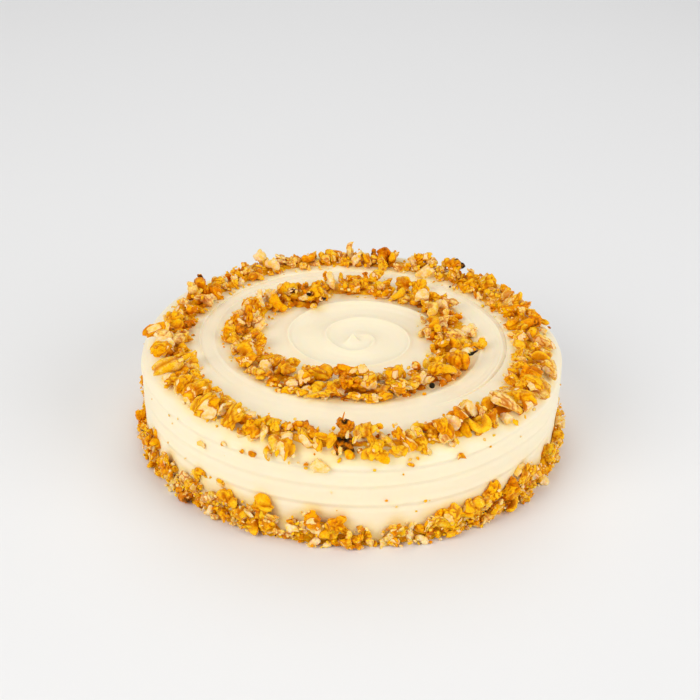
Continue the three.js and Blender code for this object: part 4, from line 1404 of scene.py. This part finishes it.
def lay_heroes(bed, heroes, spot_of, sink, limit):
    """Lays the pieces that stand out where they belong."""
    laid = []
    for degrees, radius, length, width, kind, tone, bare, tilt, spin, roll in heroes:
        random = SeededRandom(round(10 * degrees + radius))
        piece = posed(sized_piece(kind, length, width, tone, bare, random), tilt, spin, roll)
        spot = spot_of(math.radians(degrees), radius)
        laid.append(lay_in_lowest(bed, piece, [spot], sink, limit + HERO_RISE))
    return laid


def lay_ring(bed, random, places, count, lower_heroes, upper_heroes, spot_of, sink, limit):
    """The pieces of a ring. Half of the scattered ones lie lowest, with small ones in the gaps of
    the stretch whose pieces are listed. On these lie the lower ones of the pieces that stand out, then
    the other scattered ones, and last the upper ones that stand out, pressed in by sink."""
    pieces = []
    lengths = ring_lengths(count, *RING_LENGTHS, random)
    order = shuffled(lengths, random, RING_LARGE_FIRST)
    half = len(order) // 2
    for index in order[:half]:
        piece = scattered_piece(lengths[index], random)
        spots = places(4, zones=zones_for(lengths[index]))
        pieces.append(lay_in_lowest(bed, piece, spots, LOWER_SINK))
    for _ in range(GAP_PIECES):
        piece = scattered_piece(random.between(GAP_PIECE_SHORTEST, FILLER_LENGTH), random)
        pieces.append(lay_in_lowest(bed, piece, places(16, zones=INSIDE_ONLY), GAP_SINK))
    pieces += lay_heroes(bed, lower_heroes, spot_of, LOWER_HERO_SINK, limit)
    for index in order[half:]:
        piece = scattered_piece(lengths[index], random)
        spots = places(6, zones=OUTSIDE_ONLY)
        pieces.append(lay_in_lowest(bed, piece, spots, UPPER_SINK, limit))
    return pieces + lay_heroes(bed, upper_heroes, spot_of, sink, limit)


def lay_outer_ring(bed, settings):
    """The walnuts of the outer ring, on the sheet that runs over the shoulder."""
    random = SeededRandom(7)

    def cover(around, down):
        angle = around / skin.SHEET_RADIUS
        middle = skin.down_at_radius(outer_ring_middle(angle))
        half = outer_ring_half(angle) - 2.6 + 1.6 * np.minimum(0, np.sin(angle))
        half = half + 0.9 * np.sin(5 * angle) + 0.6 * np.sin(11 * angle + 2)
        return np.clip(1.2 * (1 - ((down - middle) / half) ** 2), 0, 1)

    def places(count, past=0.0, zones=ANYWHERE):
        found = []
        for _ in range(count):
            angle = random.between(0, FULL_TURN)
            while by_hand(angle, LAID_BY_HAND) not in zones:
                angle = random.between(0, FULL_TURN)
            half = outer_ring_half(angle) - PIECE_REACH + past
            off = half * np.clip(0.8 * random.numbers.normal(), -1, 1)
            around = angle * skin.SHEET_RADIUS
            found.append((around, skin.down_at_radius(outer_ring_middle(angle)) + off))
        return found

    high = skin.down_at_radius(103.9)
    whole = skin.length_around
    crumbs = [crumb_floor(bed, (0, 2), (whole, high), cover, 11, whole)]
    lower = [row for row in OUTER_HEROES if by_hand(math.radians(row[0]), LAID_BY_HAND)]
    upper = [row for row in OUTER_HEROES if row not in lower]
    pieces = lay_ring(
        bed, random, places, settings.outer_pieces, lower, upper,
        spot_on_skin, OUTER_UPPER_HERO_SINK, OUTER_LIMIT,
    )
    for _ in range(OUTER_GRAINS):
        grain = scattered_grain(RING_GRAIN_LENGTH, random)
        crumbs.append(lay_in_lowest(bed, grain, places(2, OUTER_GRAIN_REACH), GRAIN_SINK))
    return pieces, crumbs


def black_bead():
    directions, faces = unit_sphere(4)
    nothing = np.zeros(len(directions))
    return Crumb(directions * BEAD_RADIUS, faces, nothing, nothing, nothing + BEAD_TONE)


def lay_inner_ring(bed, settings):
    """The walnuts of the inner ring on the flat top, with the clumps that reach inwards."""
    random = SeededRandom(21)

    def reach_in(angle):
        total = np.zeros_like(np.asarray(angle, float))
        for middle, reach, spread in INNER_SPILLS:
            total = total + reach * np.exp(-((away_from(angle, middle) / spread) ** 2))
        return total

    def cover(x, y):
        angle = np.arctan2(y, x)
        spill = reach_in(angle)
        middle = INNER_RING_MIDDLE - spill / 2
        half = inner_ring_half(angle) - 3.0 + 3 * np.minimum(0, np.sin(angle)) + spill / 2
        half = half + np.sin(4 * angle + 1) + 0.7 * np.sin(9 * angle)
        return np.clip(1.2 * (1 - ((np.hypot(x, y) - middle) / half) ** 2), 0, 1)

    def places(count, past=0.0, zones=ANYWHERE):
        found = []
        while len(found) < count:
            angle = random.between(0, FULL_TURN)
            spill = reach_in(angle) * random.between(0, 1)
            half = inner_ring_half(angle) - PIECE_REACH + past
            off = half * np.clip(0.8 * random.numbers.normal(), -1, 1)
            radius = INNER_RING_MIDDLE - spill + off
            taken = radius > INNER_LAID_OUTSIDE and by_hand(angle, INNER_LAID_BY_HAND)
            spot = spot_on_top(angle, radius)
            if taken in zones and math.dist(spot, bead_spot) > BEAD_CLEARANCE:
                found.append(spot)
        return found

    bead_spot = spot_on_top(math.radians(BEAD_PLACE[0]), BEAD_PLACE[1])
    crumbs = [crumb_floor(bed, (-70, -70), (70, 70), cover, 23)]
    lower = [row for row in INNER_HEROES if row[1] > INNER_LAID_OUTSIDE]
    upper = [row for row in INNER_HEROES if row not in lower]
    pieces = lay_ring(
        bed, random, places, settings.inner_pieces, lower, upper,
        spot_on_top, INNER_UPPER_HERO_SINK, INNER_LIMIT,
    )
    for _ in range(INNER_GRAINS):
        grain = scattered_grain(RING_GRAIN_LENGTH, random)
        crumbs.append(lay_in_lowest(bed, grain, places(2, INNER_GRAIN_REACH), GRAIN_SINK))
    pieces.append(black_bead().moved(np.array([*bead_spot, BEAD_TOP - BEAD_RADIUS])))
    return pieces, crumbs


# The foot band's top: an uneven height with mounds and gaps, each an angle in degrees, how much
# higher or lower it is there, and how wide in degrees.
BAND_TOP = 12.2
BAND_HIGHEST = 26  # the higher the band is at an angle, up to this, the more pieces lie there
BAND_FLOOR_TOP = 21  # the layer of fine crumbs ends under this height
BAND_MOUNDS = [
    (218, 5, 3.5), (229, 8, 2.6), (238, 3, 2.5), (248.5, 8, 3.2), (253.6, -9, 1.6), (258.5, 3, 1.5),
    (262, 5, 3), (271.5, -3, 3), (277, -9, 1.8), (285.5, -4, 2), (294, 3.5, 4), (308.5, 8, 3),
    (313.5, -3, 1.8), (320, 10, 2.4), (327, -1, 3), (334, 5, 4), (348, 6, 4), (8, 5, 6), (31, 7, 5),
    (45, -6, 4), (62, 5, 6), (84, 7, 4), (97, -6, 4), (113, 5, 5), (131, 7, 4), (143, -6, 3),
    (158, 5, 5), (176, 6, 4), (190, -4, 4), (204, 6, 4),
]


def band_top(angle):
    """How high the foot band reaches at each angle."""
    height = BAND_TOP + 1.1 * np.sin(23 * angle) + 0.9 * np.sin(37 * angle + 1)
    for middle, rise, spread in BAND_MOUNDS:
        height = height + rise * np.exp(-((away_from(angle, middle) / spread) ** 2))
    return height


def lay_foot_band(bed, settings):
    """The walnuts pressed around the cake's foot: dense at the floor, single pieces at the top."""
    random = SeededRandom(33)
    floor_down = skin.down_at_height(0)
    whole = skin.length_around

    def cover(around, down):
        up = np.maximum(floor_down - down, 0)
        return np.clip(1.5 * (1 - (up / (0.62 * band_top(around / skin.SHEET_RADIUS))) ** 2), 0, 1)

    def places(count, power, past=0.0):
        found = []
        for _ in range(count):
            angle = random.between(0, FULL_TURN)
            while band_top(angle) < random.between(0, BAND_HIGHEST):
                angle = random.between(0, FULL_TURN)
            up = (band_top(angle) - 1.5 + past) * random.between(0, 1) ** power
            found.append((angle * skin.SHEET_RADIUS, floor_down - up))
        return found

    low = (0, floor_down - BAND_FLOOR_TOP)
    crumbs = [crumb_floor(bed, low, (whole, floor_down), cover, 37, whole)]
    pieces = []
    lengths = ring_lengths(settings.band_pieces, *BAND_LENGTHS, random)
    for index in shuffled(lengths, random, BAND_LARGE_FIRST):
        piece = scattered_piece(lengths[index], random)
        lowest = floor_down - 0.32 * lengths[index]
        spots = [(around, min(down, lowest)) for around, down in places(3, 0.85)]
        pieces.append(lay_in_lowest(bed, piece, spots, BAND_SINK, BAND_LIMIT))
    for degrees, height, length, width, kind, tone, bare, tilt, spin, roll in BAND_HEROES:
        piece = posed(sized_piece(kind, length, width, tone, bare, random), tilt, spin, roll)
        spot = (math.radians(degrees) * skin.SHEET_RADIUS, skin.down_at_height(height))
        pieces.append(lay_in_lowest(bed, piece, [spot], BAND_HERO_SINK, BAND_LIMIT))
    lowest = floor_down - 0.8
    for _ in range(BAND_GRAINS):
        spots = [(around, min(down, lowest)) for around, down in places(2, 0.75, BAND_GRAIN_REACH)]
        grain = scattered_grain(BAND_GRAIN_LENGTH, random)
        crumbs.append(lay_in_lowest(bed, grain, spots, GRAIN_SINK))
    return pieces, crumbs


def lay_singles(bed):
    """Single pieces and crumbs that stick to the side, under the ring and over the band."""
    random = SeededRandom(57)
    crumbs = []
    for degrees, height, length, width, kind, tone, bare in SIDE_SINGLES:
        lying = sized_piece(kind, length, width, tone, bare, random)
        piece = posed(lying, 0, random.spread(12), 0)
        spot = (math.radians(degrees) * skin.SHEET_RADIUS, skin.down_at_height(height))
        crumbs.append(lay_in_lowest(bed, piece, [spot], SINGLE_SINK))
    under_ring = skin.down_at_height(44)
    over_band = skin.down_at_height(BAND_FLOOR_TOP)
    for number in range(LOOSE_GRAINS):
        down = under_ring + 9 * random.between(0, 1) ** 2
        if number % 2:
            down = over_band + 7 * random.spread(1)
        around = random.between(0, skin.length_around)
        grain = scattered_grain(LOOSE_GRAIN_LENGTH, random)
        crumbs.append(lay_in_lowest(bed, grain, [(around, down)], GRAIN_SINK))
    return crumbs


# ---------------------------------------------------------------- operators


def shared_walnut():
    """The material of all the walnuts, made once."""
    made = bpy.data.materials.get("chopped_walnut")
    return made or walnut_material(bpy.context.scene.cake_walnut)


def dress(piece, slot, *nodes):
    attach(piece, "root")
    if nodes:
        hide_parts(*nodes)


OIL_AND_BOUNCE_REACH = 3.0
TOP_FROM = CAKE_HEIGHT - 6  # points above this are on the top
shared_beds = {}


def skin_bed():
    """The bed for everything on the sheet over the shoulder, shared so that nothing overlaps."""
    if "skin" not in shared_beds:
        shared_beds["skin"] = Bed(
            (0, 0), (skin.length_around, skin.down_at_height(-4)), skin.ground, skin.length_around
        )
    return shared_beds["skin"]


def top_bed():
    """The bed for the inner ring, on the flat top."""
    if "top" not in shared_beds:
        shared_beds["top"] = Bed((-75, -75), (75, 75), swirl_height)
    return shared_beds["top"]


def heap_pieces(name, laid, bed, place, node):
    """The pieces of walnut of one heap and the crumbs between them, each as one mesh."""
    for kind, crumbs in zip(("walnuts", "crumbs"), laid):
        piece = joined_crumbs(f"{name}_{kind}", crumbs, bed, place, shared_walnut())
        dress(piece, "walnut", node)


def oil_and_bounce_at(points):
    """How near the walnuts each point of the frosting is, from 0 to 1."""
    radius = np.hypot(points[:, 0], points[:, 1])
    around = np.arctan2(points[:, 1], points[:, 0]) % FULL_TURN * skin.SHEET_RADIUS
    on_side = points[:, 2] < CAKE_HEIGHT - SHOULDER_DROP
    down = np.where(on_side, skin.down_at_height(points[:, 2]), skin.down_at_radius(radius))
    index = skin_bed().cells(np.column_stack([around, down]))
    near_skin = skin_bed().nearness(OIL_AND_BOUNCE_REACH)[index[:, 0], index[:, 1]] * (radius > skin.INNER_EDGE)
    index = top_bed().cells(points)
    near_top = top_bed().nearness(OIL_AND_BOUNCE_REACH)[index[:, 0], index[:, 1]] * (points[:, 2] > TOP_FROM)
    return np.maximum(near_skin, near_top)


class CAKE_OT_frosting(bpy.types.Operator):
    """Spread the frosting over the cake"""

    bl_idname = "cake.frosting"
    bl_label = "Frosting"

    def execute(self, context):
        settings = context.scene.cake_frosting
        rows = frosting_rows(settings.columns, settings.spacing)
        points = hand_spread(rows.reshape(-1, 3))
        faces = rows_to_faces(len(rows), settings.columns)
        piece = new_piece("frosting", points, faces, [frosting_material(settings)])
        close_seams(piece)
        dress(piece, "frosting", "frosted_cake")
        return {"FINISHED"}


class CAKE_OT_outer_ring(bpy.types.Operator):
    """Lay the outer ring of chopped walnuts"""

    bl_idname = "cake.outer_ring"
    bl_label = "Outer ring"

    def execute(self, context):
        laid = lay_outer_ring(skin_bed(), context.scene.cake_walnut)
        heap_pieces("outer_ring", laid, skin_bed(), skin.place, "walnut_ring_outer")
        return {"FINISHED"}


class CAKE_OT_inner_ring(bpy.types.Operator):
    """Lay the inner ring of chopped walnuts"""

    bl_idname = "cake.inner_ring"
    bl_label = "Inner ring"

    def execute(self, context):
        laid = lay_inner_ring(top_bed(), context.scene.cake_walnut)
        heap_pieces("inner_ring", laid, top_bed(), np.array, "walnut_ring_inner")
        return {"FINISHED"}


class CAKE_OT_foot_band(bpy.types.Operator):
    """Press the band of chopped walnuts around the foot"""

    bl_idname = "cake.foot_band"
    bl_label = "Foot band"

    def execute(self, context):
        laid = lay_foot_band(skin_bed(), context.scene.cake_walnut)
        heap_pieces("foot_band", laid, skin_bed(), skin.place, "walnut_band_base")
        return {"FINISHED"}


class CAKE_OT_loose_crumbs(bpy.types.Operator):
    """Scatter the single pieces and crumbs on the side"""

    bl_idname = "cake.loose_crumbs"
    bl_label = "Loose crumbs"

    def execute(self, context):
        crumbs = lay_singles(skin_bed())
        piece = joined_crumbs("loose_walnut_crumbs", crumbs, skin_bed(), skin.place, shared_walnut())
        dress(piece, "walnut")
        return {"FINISHED"}


class CAKE_OT_walnut_oil_and_bounce(bpy.types.Operator):
    """Colour the frosting next to the walnuts: partly a stain of walnut oil, partly painted warm light
    bounced off the walnuts
    """

    bl_idname = "cake.walnut_oil"
    bl_label = "Walnut oil"

    def execute(self, context):
        mesh = bpy.data.objects["frosting"].data
        places = np.empty(3 * len(mesh.vertices))
        mesh.vertices.foreach_get("co", places)
        layer = mesh.attributes.new("oil", "FLOAT", "POINT")
        layer.data.foreach_set("value", oil_and_bounce_at(places.reshape(-1, 3) / MM).astype(np.float32))
        return {"FINISHED"}


# The camera: its place in metres, how far it looks down and rolls in radians, and its lens and
# sensor in millimetres.
CAMERA_PLACE = (-0.001216, -0.570283, 0.355341)
CAMERA_PITCH = 0.5018567638
CAMERA_ROLL = 0.0307413336
CAMERA_LENS = 66.857
CAMERA_SENSOR = 36.0

# The soft lights, disks of one size that face the cake: name, place in metres and colour.
LIGHTS = [
    ("key", (-1.05, -1.0, 0.95), (1, 0.985, 0.95)),
    ("fill", (1.2, -0.7, 0.7), (1, 1, 1)),
    ("top", (0, 1.0, 1.3), (1, 1, 1)),
]
LIGHT_SIZE = 1.2
LIGHT_TARGET = (0, 0, 0.03)


def area_light(name, place, power, colour):
    light = bpy.data.lights.new(name, "AREA")
    light.shape = "DISK"
    light.size = LIGHT_SIZE
    light.energy = power
    light.color = colour
    lamp = bpy.data.objects.new(name, light)
    bpy.context.scene.collection.objects.link(lamp)
    lamp.location = place
    direction = lamp.location - Matrix.Translation(LIGHT_TARGET).translation
    lamp.rotation_euler = direction.to_track_quat("Z", "Y").to_euler()
    lamp.visible_camera = False


class CAKE_OT_stage(bpy.types.Operator):
    """Set up the floor, the light and the camera"""

    bl_idname = "cake.stage"
    bl_label = "Stage"

    def execute(self, context):
        settings = context.scene.cake_stage
        scene = context.scene
        angle = np.linspace(0, FULL_TURN, 96, endpoint=False)
        reach = settings.floor_radius / MM
        rim = np.column_stack([reach * np.cos(angle), reach * np.sin(angle), 0 * angle])
        floor = new_piece("floor", rim, [list(range(len(rim)))], [floor_material(settings)], False)
        world = bpy.data.worlds.new("studio")
        world.use_nodes = True
        background = world.node_tree.nodes["Background"]
        background.inputs["Color"].default_value = (1, 1, 1, 1)
        background.inputs["Strength"].default_value = settings.sky_strength
        scene.world = world
        for name, place, colour in LIGHTS:
            area_light(name, place, getattr(settings, f"{name}_power"), colour)
        self.camera(scene)
        scene.view_settings.view_transform = "Standard"
        return {"FINISHED"}

    def camera(self, scene):
        pitch, roll = CAMERA_PITCH, CAMERA_ROLL
        back = np.array([0, -math.cos(pitch), math.sin(pitch)])
        right = np.array([1.0, 0, 0])
        up = np.cross(back, right)
        across = math.cos(roll) * right + math.sin(roll) * up
        upward = -math.sin(roll) * right + math.cos(roll) * up
        lens = bpy.data.cameras.new("camera")
        lens.lens = CAMERA_LENS
        lens.sensor_width = CAMERA_SENSOR
        lens.clip_start = 0.01
        camera = bpy.data.objects.new("camera", lens)
        scene.collection.objects.link(camera)
        turned = Matrix(np.column_stack([across, upward, back]).tolist()).to_4x4()
        camera.matrix_world = Matrix.Translation(CAMERA_PLACE) @ turned
        scene.camera = camera


class CAKE_PT_panel(bpy.types.Panel):
    """Lists the steps that build the cake"""

    bl_label = "Carrot Cake"
    bl_idname = "CAKE_PT_panel"
    bl_space_type = "VIEW_3D"
    bl_region_type = "UI"
    bl_category = "Cake"

    def draw(self, context):
        for operator in OPERATORS:
            self.layout.operator(operator.bl_idname)
        for group in SETTINGS:
            box = self.layout.box()
            values = getattr(context.scene, group)
            for name in SETTINGS[group].__annotations__:
                box.prop(values, name)


OPERATORS = (
    CAKE_OT_frosting,
    CAKE_OT_outer_ring,
    CAKE_OT_inner_ring,
    CAKE_OT_foot_band,
    CAKE_OT_loose_crumbs,
    CAKE_OT_walnut_oil_and_bounce,
    CAKE_OT_stage,
)
SETTINGS = {
    "cake_frosting": FrostingSettings,
    "cake_walnut": WalnutSettings,
    "cake_stage": StageSettings,
}


def register():
    for part in (*SETTINGS.values(), *OPERATORS, CAKE_PT_panel):
        bpy.utils.register_class(part)
    for name, group in SETTINGS.items():
        setattr(bpy.types.Scene, name, bpy.props.PointerProperty(type=group))


def unregister():
    for name in SETTINGS:
        delattr(bpy.types.Scene, name)
    for part in reversed((*SETTINGS.values(), *OPERATORS, CAKE_PT_panel)):
        bpy.utils.unregister_class(part)


def main():
    register()
    bpy.ops.cake.frosting()
    bpy.ops.cake.outer_ring()
    bpy.ops.cake.inner_ring()
    bpy.ops.cake.foot_band()
    bpy.ops.cake.loose_crumbs()
    bpy.ops.cake.walnut_oil()
    bpy.ops.cake.stage()


if __name__ == "__main__":
    main()
